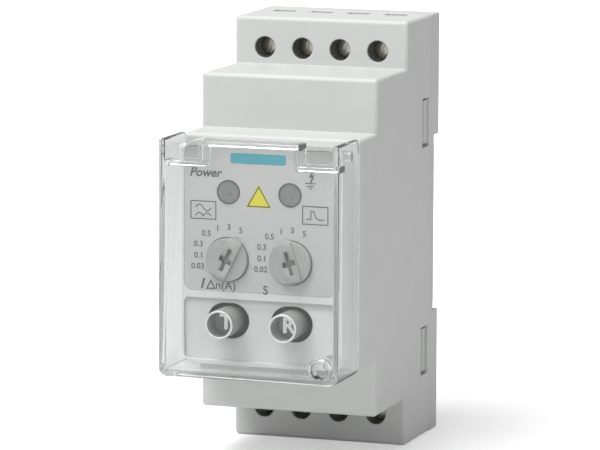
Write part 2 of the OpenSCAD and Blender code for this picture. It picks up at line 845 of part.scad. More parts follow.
module terminal_screw(i) {
    t = TERMINALS[i - 1];
    slot_tilt = 60 + 7 * (i % 3);
    color("silver") translate([t[0], 0, t[1]]) difference() {
        union() {
            bar(0, 0, [head_back, head_front], screw_head_r);
            bar(0, 0, [wire_front + tongue_t + 0.3, head_back + eps], screw_r);
        }
        rotate([0, -slot_tilt, 0]) block([-3, 3], [head_front - 0.7, head_front + 1], [-0.35, 0.35]);
    }
}

module terminal_cage(i) {
    t = TERMINALS[i - 1];
    outer = [wire_back - cage_back_wall, cage_front + cage_front_wall];
    color("lightsteelblue") translate([t[0], 0, t[1]]) difference() {
        block([-cage_w / 2, cage_w / 2], outer, [-cage_len / 2, cage_len / 2]);
        block([-wire_w / 2, wire_w / 2], [wire_back, cage_front], [-cage_len, cage_len]);
        bar(0, 0, [cage_front - 1, outer[1] + 1], screw_r + running);
    }
}

// ---- Model ------------------------------------------------------------------

front_housing();
rear_base();
rail_latch();
latch_spring();
hinged_cover();
front_panel();
front_label();
power_lens();
trip_lens();
sensitivity_knob();
delay_knob();
test_button();
reset_button();
test_spring();
reset_spring();
test_switch();
reset_switch();
test_plunger();
reset_plunger();
sensitivity_selector();
delay_selector();
front_board();
main_board();
riser_board();
microcontroller();
signal_amplifier();
power_led();
trip_led();
transformer_core();
transformer_bobbin();
transformer_winding();
output_relay();
supply_capacitor();
filter_capacitor();
surge_varistor();
rectifier();
burden_resistors();
board_screws();
panel_screws();
terminal_contacts();
for (i = [1 : 8]) {
    terminal_screw(i);
    terminal_cage(i);
}
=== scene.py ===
"""Looks of a two-module residual current monitoring relay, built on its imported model."""

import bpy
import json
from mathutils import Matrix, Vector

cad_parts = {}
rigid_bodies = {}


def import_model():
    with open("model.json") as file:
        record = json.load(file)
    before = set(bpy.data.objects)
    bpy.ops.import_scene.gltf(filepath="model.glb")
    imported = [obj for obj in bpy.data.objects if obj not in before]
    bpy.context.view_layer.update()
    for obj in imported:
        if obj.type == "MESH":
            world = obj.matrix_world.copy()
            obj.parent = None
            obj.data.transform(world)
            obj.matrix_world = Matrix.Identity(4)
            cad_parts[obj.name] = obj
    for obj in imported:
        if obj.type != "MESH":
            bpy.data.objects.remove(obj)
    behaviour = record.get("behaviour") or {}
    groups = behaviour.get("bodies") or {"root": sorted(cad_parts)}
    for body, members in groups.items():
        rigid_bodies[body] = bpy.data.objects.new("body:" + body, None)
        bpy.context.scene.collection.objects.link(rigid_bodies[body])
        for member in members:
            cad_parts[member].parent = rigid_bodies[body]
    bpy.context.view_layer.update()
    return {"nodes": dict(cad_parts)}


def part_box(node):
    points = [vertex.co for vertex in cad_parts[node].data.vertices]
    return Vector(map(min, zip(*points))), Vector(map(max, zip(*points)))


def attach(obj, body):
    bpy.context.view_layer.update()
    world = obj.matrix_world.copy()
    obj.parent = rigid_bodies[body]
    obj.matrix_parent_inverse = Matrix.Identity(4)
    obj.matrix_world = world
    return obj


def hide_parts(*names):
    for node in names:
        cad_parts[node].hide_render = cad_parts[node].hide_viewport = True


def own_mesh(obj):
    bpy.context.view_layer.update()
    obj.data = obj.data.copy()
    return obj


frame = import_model()

import json
import logging
import math
from dataclasses import dataclass
from enum import Enum
from typing import Callable, Iterable, Sequence

import bmesh
import bpy
from mathutils import Matrix, Quaternion, Vector

LOG = logging.getLogger("relay")
MM = 0.001
NODES = frame["nodes"]
Point = tuple[float, float]
CornerPick = Callable[[Sequence[Vector]], bool]
EdgePick = Callable[[bmesh.types.BMEdge], bool]

# Places in x and z and distances from the rail seat, in millimetres.
CONTROL_X = 6.4
DIAL_Z = -0.7
KEY_Z = -12.6
LAMP_X = 6.2
LAMP_Z = 12.3
TERMINAL_PITCH = 7.8
TERMINAL_Z = 36.2
PANEL_FACE = 53.9
FIELD_FACE = 53.3
HALF_W = 18.0
HALF_H = 42.3


# ---- Finishes ---------------------------------------------------------------------


class Texture(Enum):
    """How a finish breaks up its surface."""

    MOULDED = "moulded"
    POLISHED = "polished"
    BRUSHED = "brushed"
    LAMINATED = "laminated"
    PLATED = "plated"
    MASKED = "masked"


@dataclass(frozen=True)
class Finish:
    """One surface finish, turned into a node material once and shared.

    Colours are linear. Lengths are millimetres, grain is the size of the surface's texture.
    """

    name: str
    colour: tuple[float, float, float]
    roughness: float = 0.45
    metallic: float = 0.0
    texture: Texture = Texture.MOULDED
    grain: float = 0.25
    depth: float = 0.012
    variation: float = 0.04
    coat: float = 0.0
    # Emission strength; above 0 it is a painted glow on a surface that is no lamp.
    glow: float = 0.0

    def material(self) -> bpy.types.Material:
        """The finish's material, made on first use.

        Returns:
            The shared node material.
        """
        found = bpy.data.materials.get(self.name)
        if found is not None:
            return found
        made = bpy.data.materials.new(self.name)
        made.use_nodes = True
        made.diffuse_color = (*self.colour, 1.0)
        graph = Graph(made.node_tree)
        shader = made.node_tree.nodes["Principled BSDF"]
        shader.inputs["Metallic"].default_value = self.metallic
        shader.inputs["Coat Weight"].default_value = self.coat
        shader.inputs["Emission Color"].default_value = (1.0, 1.0, 1.0, 1.0)
        shader.inputs["Emission Strength"].default_value = self.glow
        place = graph.add("ShaderNodeTexCoord").outputs["Object"]
        graph.link(self.tint(graph, place), shader.inputs["Base Color"])
        graph.link(self.dullness(graph, place), shader.inputs["Roughness"])
        graph.link(self.relief(graph, place), shader.inputs["Normal"])
        return made

    def tint(self, graph: "Graph", place: bpy.types.NodeSocket) -> bpy.types.NodeSocket:
        """Base colour with a soft cloudy variation.

        Args:
            graph: The material's node tree.
            place: Object coordinates.

        Returns:
            The colour socket.
        """
        cloud = graph.noise(place, 9.0, 2.0)
        dark = tuple(c * (1.0 - self.variation) for c in self.colour)
        light = tuple(min(1.0, c * (1.0 + self.variation)) for c in self.colour)
        return graph.ramp(cloud, [(0.3, dark), (0.7, light)])

    def dullness(self, graph: "Graph", place: bpy.types.NodeSocket) -> bpy.types.NodeSocket:
        """Roughness that wanders a little over the surface.

        Args:
            graph: The material's node tree.
            place: Object coordinates.

        Returns:
            The roughness socket.
        """
        spread = 0.03 if self.texture is Texture.POLISHED else 0.07
        return graph.span(graph.noise(place, 1.6, 3.0), self.roughness - spread,
                          self.roughness + spread)

    def relief(self, graph: "Graph", place: bpy.types.NodeSocket) -> bpy.types.NodeSocket:
        """Fine surface texture as a bump.

        Args:
            graph: The material's node tree.
            place: Object coordinates.

        Returns:
            The normal socket.
        """
        if self.texture is Texture.LAMINATED:
            height = graph.bands(place, 0.5)
        elif self.texture is Texture.BRUSHED:
            height = graph.noise(graph.stretched(place, (1.0, 1.0, 14.0)), self.grain, 2.0)
        else:
            height = graph.noise(place, self.grain, 2.0)
        bump = graph.add("ShaderNodeBump")
        bump.inputs["Strength"].default_value = 0.5
        bump.inputs["Distance"].default_value = self.depth * MM
        graph.link(height, bump.inputs["Height"])
        return bump.outputs["Normal"]


@dataclass(frozen=True)
class ClearFinish(Finish):
    """Clear moulded plastic: bends light, and lets the lamps through in shadow."""

    ior: float = 1.5

    def material(self) -> bpy.types.Material:
        """The clear material, made on first use.

        Returns:
            The shared node material.
        """
        found = bpy.data.materials.get(self.name)
        if found is not None:
            return found
        made = super().material()
        graph = Graph(made.node_tree)
        shader = made.node_tree.nodes["Principled BSDF"]
        shader.inputs["Transmission Weight"].default_value = 1.0
        shader.inputs["IOR"].default_value = self.ior
        see_through = graph.add("ShaderNodeBsdfTransparent")
        see_through.inputs["Color"].default_value = (0.92, 0.925, 0.92, 1.0)
        mix = graph.add("ShaderNodeMixShader")
        graph.link(graph.add("ShaderNodeLightPath").outputs["Is Shadow Ray"], mix.inputs["Fac"])
        graph.link(shader.outputs["BSDF"], mix.inputs[1])
        graph.link(see_through.outputs["BSDF"], mix.inputs[2])
        graph.link(mix.outputs["Shader"],
                   made.node_tree.nodes["Material Output"].inputs["Surface"])
        return made


@dataclass(frozen=True)
class Graph:
    """A thin helper that adds and joins nodes of one tree."""

    tree: bpy.types.NodeTree

    def add(self, kind: str, **options: object) -> bpy.types.Node:
        """A new node with some of its options set.

        Args:
            kind: The node's type name.
            options: Attributes to set on the node.

        Returns:
            The node.
        """
        node = self.tree.nodes.new(kind)
        for name, value in options.items():
            setattr(node, name, value)
        return node

    def link(self, source: bpy.types.NodeSocket, target: bpy.types.NodeSocket) -> None:
        """Joins two sockets."""
        self.tree.links.new(source, target)

    def noise(self, place: bpy.types.NodeSocket, size: float,
              detail: float) -> bpy.types.NodeSocket:
        """Noise whose features are about size millimetres across.

        Args:
            place: Object coordinates.
            size: Feature size in millimetres.
            detail: Number of octaves.

        Returns:
            The noise value socket.
        """
        node = self.add("ShaderNodeTexNoise")
        node.inputs["Scale"].default_value = 1.0 / (size * MM)
        node.inputs["Detail"].default_value = detail
        self.link(place, node.inputs["Vector"])
        return node.outputs["Fac"]

    def stretched(self, place: bpy.types.NodeSocket,
                  scale: Sequence[float]) -> bpy.types.NodeSocket:
        """Coordinates stretched by a Mapping node.

        Args:
            place: Object coordinates.
            scale: Factor on each axis.

        Returns:
            The stretched vector socket.
        """
        node = self.add("ShaderNodeMapping")
        node.inputs["Scale"].default_value = scale
        self.link(place, node.inputs["Vector"])
        return node.outputs["Vector"]

    def bands(self, place: bpy.types.NodeSocket, pitch: float) -> bpy.types.NodeSocket:
        """Bands across the depth, one for each sheet of a stack.

        Args:
            place: Object coordinates.
            pitch: Thickness of a sheet in millimetres.

        Returns:
            The band value socket.
        """
        node = self.add("ShaderNodeTexWave", bands_direction="Y")
        node.inputs["Scale"].default_value = 0.314 / (pitch * MM)
        self.link(place, node.inputs["Vector"])
        return node.outputs["Fac"]

    def ramp(self, value: bpy.types.NodeSocket,
             stops: Sequence[tuple[float, Sequence[float]]]) -> bpy.types.NodeSocket:
        """A colour ramp with two stops.

        Args:
            value: What drives the ramp.
            stops: Position and colour of each stop.

        Returns:
            The colour socket.
        """
        node = self.add("ShaderNodeValToRGB")
        for element, (position, colour) in zip(node.color_ramp.elements, stops):
            element.position = position
            element.color = (*colour, 1.0)
        self.link(value, node.inputs["Fac"])
        return node.outputs["Color"]

    def span(self, value: bpy.types.NodeSocket, low: float,
             high: float) -> bpy.types.NodeSocket:
        """Maps 0..1 to low..high.

        Args:
            value: The value to map.
            low: Result at 0.
            high: Result at 1.

        Returns:
            The mapped value socket.
        """
        node = self.add("ShaderNodeMapRange")
        node.inputs["To Min"].default_value = low
        node.inputs["To Max"].default_value = high
        self.link(value, node.inputs["Value"])
        return node.outputs["Result"]


HOUSING = Finish("housing_polyamide", (0.60, 0.61, 0.60), 0.5, variation=0.015)
BASE = Finish("base_polyamide", (0.59, 0.60, 0.59), 0.5, variation=0.015)
PANEL = Finish("panel_plastic", (0.55, 0.56, 0.55), 0.42, grain=0.2, depth=0.006, variation=0.015)
FILM = Finish("label_film", (0.41, 0.417, 0.41), 0.36, grain=0.12, depth=0.003, variation=0.012)
CLEAR = ClearFinish("clear_polycarbonate", (0.97, 0.98, 0.98), 0.04,
                    texture=Texture.POLISHED, grain=2.5, depth=0.004, variation=0.005)
SMOKED = Finish("smoked_light_guide", (0.165, 0.17, 0.165), 0.28, texture=Texture.POLISHED,
                grain=1.2, depth=0.004, coat=0.3)
DIAL = Finish("dial_plastic", (0.30, 0.31, 0.30), 0.40, grain=0.18, depth=0.008, variation=0.03)
KEY = Finish("key_plastic", (0.20, 0.21, 0.20), 0.24, texture=Texture.POLISHED, grain=0.8,
             depth=0.004, variation=0.03, coat=0.2)
INK = Finish("dark_ink", (0.055, 0.058, 0.058), 0.5, grain=0.1, depth=0.003, variation=0.1)
RING_INK = Finish("ring_ink", (0.075, 0.078, 0.078), 0.45, grain=0.1, depth=0.003)
YELLOW = Finish("yellow_ink", (0.58, 0.53, 0.015), 0.42, grain=0.1, depth=0.003)
# Dark grey for thin tubes inside the screwdriver holes; it makes their walls dark.
HOLE_TUBE_DARK_GREY = Finish("dark_hole_tube", (0.085, 0.092, 0.08), 0.45, grain=0.15, variation=0.05)
TEAL = Finish("teal_ink", (0.035, 0.27, 0.33), 0.42, grain=0.1, depth=0.003)
# Painted highlight: a light colour on the front lip of each dark key cup.
KEY_LIP_HIGHLIGHT = Finish("key_lip_painted_highlight", (0.60, 0.61, 0.60), 0.3, grain=0.1, depth=0.003, variation=0.02)
# Painted shade: a near-black colour on the deep walls of the button wells.
WELL_PAINTED_SHADE = Finish("well_painted_shade", (0.022, 0.023, 0.022), 0.45, grain=0.15, depth=0.004)
# Painted shade: a dark grey colour in the dials' cross slots.
SLOT_SHADE = Finish("dial_slot_painted_shade", (0.07, 0.073, 0.07), 0.5, grain=0.15, depth=0.004)
# White print on the key floors, with a painted glow added so it shows bright in the deep cups.
WHITE_INK_AND_GLOW = Finish("white_ink_and_painted_glow", (0.86, 0.87, 0.86), 0.4, grain=0.1, depth=0.003, variation=0.02,
                   glow=0.30)
LATCH = Finish("latch_acetal", (0.33, 0.34, 0.34), 0.38, variation=0.03)
STEEL = Finish("zinc_plated_steel", (0.60, 0.60, 0.58), 0.32, 1.0, Texture.PLATED, 0.4, 0.006, 0.08)
NICKEL = Finish("nickel_plated_screw", (0.66, 0.64, 0.56), 0.26, 1.0, Texture.PLATED, 0.3,
                0.006, 0.10)
SPRING_WIRE = Finish("spring_wire", (0.62, 0.62, 0.63), 0.25, 1.0, Texture.BRUSHED, 0.1, 0.004)
TINNED = Finish("tinned_brass", (0.68, 0.62, 0.47), 0.33, 1.0, Texture.PLATED, 0.5, 0.005, 0.08)
BLACK = Finish("black_nylon", (0.02, 0.02, 0.021), 0.42, grain=0.2, variation=0.15)
EPOXY = Finish("black_epoxy", (0.014, 0.014, 0.015), 0.52, grain=0.08, depth=0.006, variation=0.2)
BOARD = Finish("solder_mask", (0.012, 0.125, 0.045), 0.24, texture=Texture.MASKED, grain=0.9,
               depth=0.01, variation=0.22, coat=0.4)
GREEN_LED = Finish("green_epoxy", (0.30, 0.62, 0.30), 0.12, texture=Texture.POLISHED, grain=0.8)
RED_LED = Finish("red_epoxy", (0.70, 0.12, 0.08), 0.12, texture=Texture.POLISHED, grain=0.8)
CORE = Finish("laminated_core", (0.16, 0.17, 0.19), 0.40, 1.0, Texture.LAMINATED, 0.5, 0.12, 0.2)
NYLON = Finish("natural_nylon", (0.66, 0.62, 0.50), 0.38, grain=0.3, variation=0.03)
COPPER = Finish("enamelled_copper", (0.50, 0.14, 0.035), 0.22, 0.9, Texture.PLATED, 0.4, 0.003,
                0.1, 0.6)
RELAY = Finish("relay_case", (0.02, 0.07, 0.24), 0.22, texture=Texture.POLISHED, grain=1.5)
SLEEVE = Finish("capacitor_sleeve", (0.012, 0.018, 0.06), 0.26, texture=Texture.POLISHED,
                grain=1.0)
BOX_FILM = Finish("box_capacitor", (0.62, 0.46, 0.10), 0.30, texture=Texture.POLISHED, grain=0.8)
VARISTOR = Finish("varistor_epoxy", (0.02, 0.10, 0.34), 0.34, grain=0.5, depth=0.03)
LACQUER = Finish("resistor_lacquer", (0.52, 0.36, 0.19), 0.28, grain=0.4, depth=0.01)

CARRIED: dict[str, Finish] = {
    "front_label": FILM, "rail_latch": LATCH, "test_switch": BLACK, "reset_switch": BLACK,
    "sensitivity_selector": BLACK, "delay_selector": BLACK, "test_plunger": BLACK,
    "reset_plunger": BLACK, "front_board": BOARD, "main_board": BOARD,
    "riser_board": BOARD, "microcontroller": EPOXY, "signal_amplifier": EPOXY,
    "rectifier": EPOXY, "power_led": GREEN_LED, "trip_led": RED_LED, "transformer_core": CORE,
    "transformer_bobbin": NYLON, "output_relay": RELAY, "supply_capacitor": SLEEVE,
    "filter_capacitor": BOX_FILM, "surge_varistor": VARISTOR, "burden_resistors": LACQUER,
    "board_screws": STEEL, "panel_screws": STEEL, "terminal_contacts": TINNED,
    **{f"terminal_cage_{i}": STEEL for i in range(1, 9)},
}


# ---- Mesh helpers -----------------------------------------------------------------

WELD = 0.002 * MM
SAME_PLANE = math.radians(0.5)
CORNER_TURN = math.radians(50)
CREASE_TURN = math.radians(28)
SLIGHT_TURN = math.radians(1.5)
FLAT_AREA = 15 * MM * MM
FLAT_RATIO = 0.4
ON_FACE = 0.02


def as_mesh(name: str, shape: bmesh.types.BMesh) -> bpy.types.Mesh:
    """A named mesh made of a shape, which is freed."""
    mesh = bpy.data.meshes.new(name)
    shape.to_mesh(mesh)
    shape.free()
    return mesh


def finished(name: str, shape: bmesh.types.BMesh, finish: Finish, body: str) -> bpy.types.Object:
    """Turns a shape into a piece of the object.

    Args:
        name: The piece's name.
        shape: The mesh, in metres in the row frame; it is freed.
        finish: The finish it wears.
        body: The body it rides on.

    Returns:
        The new object.
    """
    return placed(name, as_mesh(name, shape), finish, body)


def placed(name: str, mesh: bpy.types.Mesh, finish: Finish, body: str) -> bpy.types.Object:
    """Links a finished mesh, dresses it and makes it ride.

    Args:
        name: The piece's name.
        mesh: Its mesh, already in place.
        finish: The finish it wears.
        body: The body it rides on.

    Returns:
        The new object.
    """
    mesh.name = name
    mesh.materials.clear()
    mesh.materials.append(finish.material())
    piece = bpy.data.objects.new(name, mesh)
    bpy.context.scene.collection.objects.link(piece)
    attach(piece, body)
    LOG.info("%s: %d faces on %s", name, len(mesh.polygons), body)
    return piece


def merged(node: str) -> bmesh.types.BMesh:
    """A welded copy of a CAD node with its flats joined into whole faces.

    Args:
        node: The node's name.

    Returns:
        The copy.
    """
    shape = bmesh.new()
    shape.from_mesh(NODES[node].data)
    bmesh.ops.remove_doubles(shape, verts=shape.verts, dist=WELD)
    bmesh.ops.dissolve_limit(shape, angle_limit=SAME_PLANE, verts=shape.verts,
                             edges=shape.edges)
    shape.normal_update()
    return shape


def inlaid(piece: bpy.types.Object, finish: Finish, pick: CornerPick) -> None:
    """Gives some faces of a piece a second finish.

    Args:
        piece: The piece.
        finish: The second finish.
        pick: Says from a face's corners whether it gets the second finish.
    """
    mesh = piece.data
    mesh.materials.append(finish.material())
    for face in mesh.polygons:
        if pick([mesh.vertices[i].co for i in face.vertices]):
            face.material_index = 1


def is_corner(edge: bmesh.types.BMEdge) -> bool:
    """Whether an edge is an outward corner that turns by more than CORNER_TURN."""
    return (len(edge.link_faces) == 2 and edge.is_convex
            and edge.calc_face_angle() > CORNER_TURN)


def rounded(shape: bmesh.types.BMesh, radius: float, segments: int, pick: EdgePick) -> None:
    """Rounds the picked outward corners.

    Args:
        shape: The mesh, changed in place.
        radius: Width of the round in millimetres.
        segments: Faces across the round.
        pick: Says which corners are rounded.
    """
    edges = [e for e in shape.edges if is_corner(e) and pick(e)]
    if edges:
        bmesh.ops.bevel(shape, geom=edges, offset=radius * MM, offset_type="OFFSET",
                        segments=segments, profile=0.5, affect="EDGES", clamp_overlap=False)
        shape.normal_update()


def shaded(shape: bmesh.types.BMesh) -> None:
    """Smooths round faces and keeps flats and corners crisp."""
    for face in shape.faces:
        face.smooth = True
    for edge in shape.edges:
        if len(edge.link_faces) != 2:
            continue
        turn = edge.calc_face_angle(0.0)
        small, large = sorted(f.calc_area() for f in edge.link_faces)
        flat_meets_round = (turn > SLIGHT_TURN and large > FLAT_AREA
                            and small < FLAT_RATIO * large)
        edge.smooth = not (turn > CREASE_TURN or flat_meets_round)


def depth_of(point: Vector) -> float:
    """How far a point is in front of the rail seat, in millimetres."""
    return -point.y / MM


def close(a: float, b: float) -> bool:
    """Whether two lengths in millimetres are the same face's."""
    return abs(a - b) < ON_FACE


def wide(point: Vector) -> float:
    """How far a point is from the middle plane, in millimetres."""
    return abs(point.x) / MM


def tall(point: Vector) -> float:
    """How far a point is above or below the middle, in millimetres."""
    return abs(point.z) / MM


def spot(x: float, z: float, depth: float) -> tuple[float, float, float]:
    """A place in metres from x, z and the distance from the rail seat in millimetres."""
    return (x * MM, -depth * MM, z * MM)


def band(shape: bmesh.types.BMesh, low: Sequence[bmesh.types.BMVert],
         high: Sequence[bmesh.types.BMVert], closed: bool = True) -> None:
    """Quads between two rows of corners.

    Args:
        shape: The mesh, changed in place.
        low: The first row.
        high: The second row, as long as the first.
        closed: Whether the rows run all the way round.
    """
    for i in range(len(low) if closed else len(low) - 1):
        j = (i + 1) % len(low)
        shape.faces.new((low[i], low[j], high[j], high[i]))


def prism(outline: Sequence[Point], back: float, front: float) -> bmesh.types.BMesh:
    """A closed plate with an outline in x and z.

    Args:
        outline: Corners in millimetres, counterclockwise seen from the front.
        back: Distance of its back from the rail seat.
        front: Distance of its front.

    Returns:
        The plate.
    """
    shape = bmesh.new()
    rings = [[shape.verts.new(spot(x, z, d)) for x, z in outline] for d in (back, front)]
    shape.faces.new(rings[1])
    shape.faces.new(list(reversed(rings[0])))
    band(shape, *rings)
    bmesh.ops.recalc_face_normals(shape, faces=shape.faces)
    return shape


def joined(shapes: Iterable[bmesh.types.BMesh]) -> bmesh.types.BMesh:
    """All the shapes in one mesh; the given ones are freed.

    Args:
        shapes: The meshes to join.

    Returns:
        The joined mesh.
    """
    whole = bmesh.new()
    for shape in shapes:
        part = as_mesh("part", shape)
        whole.from_mesh(part)
        bpy.data.meshes.remove(part)
    return whole


def lathe(centre: Point, profile: Sequence[Point], segments: int = 64) -> bmesh.types.BMesh:
    """A closed turned shape whose axis runs along the depth.

    Args:
        centre: Place of the axis in x and z.
        profile: Radius and distance of each corner, from the axis at the back to the axis
            at the front.
        segments: Faces round the axis.

    Returns:
        The turned shape.
    """
    shape = bmesh.new()
    rings: list[list[bmesh.types.BMVert]] = []
    for radius, distance in profile:
        count = 1 if radius < 1e-6 else segments
        rings.append([shape.verts.new(spot(centre[0] + radius * math.cos(a),
                                           centre[1] + radius * math.sin(a), distance))
                      for a in (2 * math.pi * i / count for i in range(count))])
    for low, high in zip(rings, rings[1:]):
        for i in range(segments):
            corners = [low[i % len(low)], low[(i + 1) % len(low)],
                       high[(i + 1) % len(high)], high[i % len(high)]]
            face = list(dict.fromkeys(corners))
            if len(face) > 2:
                shape.faces.new(face)
    bmesh.ops.recalc_face_normals(shape, faces=shape.faces)
    return shape


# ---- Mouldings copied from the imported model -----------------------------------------


@dataclass
class Moulding:
    """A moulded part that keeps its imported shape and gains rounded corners."""

    node: str
    name: str
    body: str
    slot: str
    finish: Finish
    edge_round: float = 0.15
    edge_segments: int = 2

    def shape(self) -> bmesh.types.BMesh:
        """The rounded mesh; every corner gets the same small round.

        Returns:
            The mesh.
        """
        shape = merged(self.node)
        rounded(shape, self.edge_round, self.edge_segments, lambda edge: True)
        return shape

    def build(self) -> bpy.types.Object:
        """Makes the piece and lets it stand for its node.

        Returns:
            The piece.
        """
        shape = self.shape()
        shaded(shape)
        piece = finished(self.name, shape, self.finish, self.body)
        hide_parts(self.node)
        return piece


@dataclass
class Shell(Moulding):
    """A housing shell with a large round on its outline and a small one elsewhere."""

    outline_round: float = 0.8
    outline_segments: int = 4
    steps: tuple[Point, ...] = ((17.9, HALF_H), (37.1, 33.0), (47.7, 22.5))
    parting: float = 2.0
    rim_round: float = 0.12

    def on_outline(self, point: Vector) -> bool:
        """Whether a point lies on the outline of the stepped side, in distance and height."""
        depth, height = depth_of(point), tall(point)
        back = self.parting
        for face, half in self.steps:
            if close(height, half) and back - ON_FACE < depth < face + ON_FACE:
                return True
            back = face
        inner = 0.0
        for face, half in reversed(self.steps):
            if close(depth, face) and inner - ON_FACE < height < half + ON_FACE:
                return True
            inner = half
        return False

    def is_outer(self, edge: bmesh.types.BMEdge) -> bool:
        """Whether a corner belongs to the outside outline of the shell."""
        first, last = (v.co for v in edge.verts)
        level = close(depth_of(first), depth_of(last))
        if level and any(close(depth_of(p), self.parting) for p in (first, last)):
            return False
        if not (self.on_outline(first) and self.on_outline(last)):
            return False
        if close(wide(first), HALF_W) and close(wide(last), HALF_W):
            return True
        along_x = abs(first.y - last.y) < 0.01 * MM and abs(first.z - last.z) < 0.01 * MM
        return along_x and any(close(depth_of(first), face) and close(tall(first), half)
                               for face, half in self.steps)

    def is_rim(self, edge: bmesh.types.BMEdge) -> bool:
        """Whether a corner is the visible rim of a hole, window or joint."""
        return all(close(wide(v.co), HALF_W) or self.on_outline(v.co) for v in edge.verts)

    def shape(self) -> bmesh.types.BMesh:
        """The shell with both sizes of round.

        Returns:
            The mesh.
        """
        shape = merged(self.node)
        rounded(shape, self.outline_round, self.outline_segments, self.is_outer)
        rounded(shape, self.rim_round, 2, self.is_rim)
        return shape


@dataclass
class BackShell(Moulding):
    """The rear base with its rail recess."""

    back: float = -3.3
    outline_round: float = 0.45

    def is_outer(self, edge: bmesh.types.BMEdge) -> bool:
        """Whether a corner is on the back or the ends of the base."""
        ends = [v.co for v in edge.verts]
        sides = all(close(wide(p), HALF_W) for p in ends)
        tops = all(close(tall(p), HALF_H) for p in ends)
        backs = all(close(depth_of(p), self.back) for p in ends)
        inside = any(depth_of(p) > 0.05 for p in ends) and not (sides and tops)
        return (sides and (tops or backs) or tops and backs) and not inside

    def shape(self) -> bmesh.types.BMesh:
        """The base with its outer corners rounded.

        Returns:
            The mesh.
        """
        shape = merged(self.node)
        rounded(shape, self.outline_round, 3, self.is_outer)
        return shape


@dataclass
class RaisedPanel(Moulding):
    """The raised front block, rounded round its face, its field and its wells."""

    edge_round: float = 0.12
    well_half: Point = (4.3, 3.5)
    well_lip: float = 0.5

    def is_rim(self, edge: bmesh.types.BMEdge) -> bool:
        """Whether a corner is on the face or on the sunk field of the face."""
        return all(close(depth_of(v.co), PANEL_FACE) or close(depth_of(v.co), FIELD_FACE)
                   for v in edge.verts)

    def shape(self) -> bmesh.types.BMesh:
        """The panel with rounded face edges.

        Returns:
            The mesh.
        """
        shape = merged(self.node)
        rounded(shape, self.edge_round, self.edge_segments, self.is_rim)
        return shape

    def is_shaded_well_face(self, corners: Sequence[Vector]) -> bool:
        """Whether a face with these corners lines one of the two button wells and gets painted
        shade.
        """
        half_x, half_z = self.well_half
        inside = all(abs(wide(p) - CONTROL_X) < half_x and abs(p.z / MM - KEY_Z) < half_z
                     and depth_of(p) < FIELD_FACE + ON_FACE for p in corners)
        return inside and any(depth_of(p) < FIELD_FACE - self.well_lip for p in corners)

    def build(self) -> bpy.types.Object:
        """Makes the panel with painted shade on the walls of its wells.

        Returns:
            The piece.
        """
        piece = super().build()
        inlaid(piece, WELL_PAINTED_SHADE, self.is_shaded_well_face)
        return piece


@dataclass
class Dial(Moulding):
    """A selector dial with painted shade in its driver slot."""

    x: float = 0.0
    face: float = 55.2
    slot_reach: float = 2.3
    slot_lip: float = 0.3

    def is_shaded_slot_face(self, corners: Sequence[Vector]) -> bool:
        """Whether a face with these corners belongs to the cross slot and gets painted shade."""
        near = all(math.hypot(p.x / MM - self.x, p.z / MM - DIAL_Z) < self.slot_reach
                   for p in corners)
        return near and any(depth_of(p) < self.face - self.slot_lip for p in corners)

    def build(self) -> bpy.types.Object:
        """Makes the dial with painted shade in its slot.

        Returns:
            The piece.
        """
        piece = super().build()
        inlaid(piece, SLOT_SHADE, self.is_shaded_slot_face)
        return piece


@dataclass
class ClearCover(Moulding):
    """The clear hinged cover, with polished round edges."""

    shortest: float = 0.25

    def shape(self) -> bmesh.types.BMesh:
        """The cover with its long corners rounded.

        Returns:
            The mesh.
        """
        shape = merged(self.node)
        rounded(shape, self.edge_round, self.edge_segments,
                lambda edge: edge.calc_length() > self.shortest * MM)
        return shape


# ---- Controls -----------------------------------------------------------------------


@dataclass
class PushKey:
    """One push button: a turned cup with a letter on its floor."""

    node: str
    body: str
    letter: str
    x: float
    z: float = KEY_Z
    radius: float = 2.8
    bore: float = 2.35
    stem_r: float = 1.2
    flange_r: float = 3.4
    flange_back: float = 47.4
    flange_front: float = 48.3
    face: float = 58.9
    cup: float = 4.6
    lip: float = 0.18
    ease: float = 0.1
    letter_h: float = 3.0
    letter_t: float = 0.5
    letter_bold: float = 0.02

    def profile(self) -> list[Point]:
        """Radius and distance of the turned profile, back to front.

        Returns:
            The profile's corners.
        """
        back, stem, flange, ease = (depth_of(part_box(self.node)[1]), self.stem_r,
                                    self.flange_r, self.ease)
        corners: list[Point] = [(0.0, back), (stem - 0.15, back), (stem, back + 0.15),
                                (stem, self.flange_back), (flange - ease, self.flange_back),
                                (flange, self.flange_back + ease),
                                (flange, self.flange_front - ease),
                                (flange - ease, self.flange_front),
                                (self.radius, self.flange_front)]
        corners += [(self.radius - self.lip + self.lip * math.cos(a),
                     self.face - self.lip + self.lip * math.sin(a))
                    for a in (math.radians(t) for t in (0, 30, 60, 90))]
        corners += [(self.bore + self.lip - self.lip * math.sin(a),
                     self.face - self.lip + self.lip * math.cos(a))
                    for a in (math.radians(t) for t in (0, 30, 60, 90))]
        floor = self.face - self.cup
        corners += [(self.bore, floor + 0.25), (self.bore - 0.08, floor + 0.08),
                    (self.bore - 0.25, floor), (0.0, floor)]
        return corners

    def build(self) -> list[bpy.types.Object]:
        """Makes the cup and its letter.

        Returns:
            The two pieces.
        """
        shape = lathe((self.x, self.z), self.profile())
        shaded(shape)
        cup = finished(self.node + "_cup", shape, KEY, self.body)
        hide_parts(self.node)
        # The cup's front lip gets the painted highlight.
        highlight_back = self.face - self.lip - 0.01
        inlaid(cup, KEY_LIP_HIGHLIGHT, lambda corners: all(depth_of(p) > highlight_back for p in corners))
        floor = self.face - self.cup
        mark = lettering(self.letter, (self.x, self.z), self.letter_h, floor, self.letter_t,
                         bold=self.letter_bold)
        # The letter's finish adds a painted glow to the white print.
        letter = finished(self.node + "_letter", mark, WHITE_INK_AND_GLOW, self.body)
        return [cup, letter]


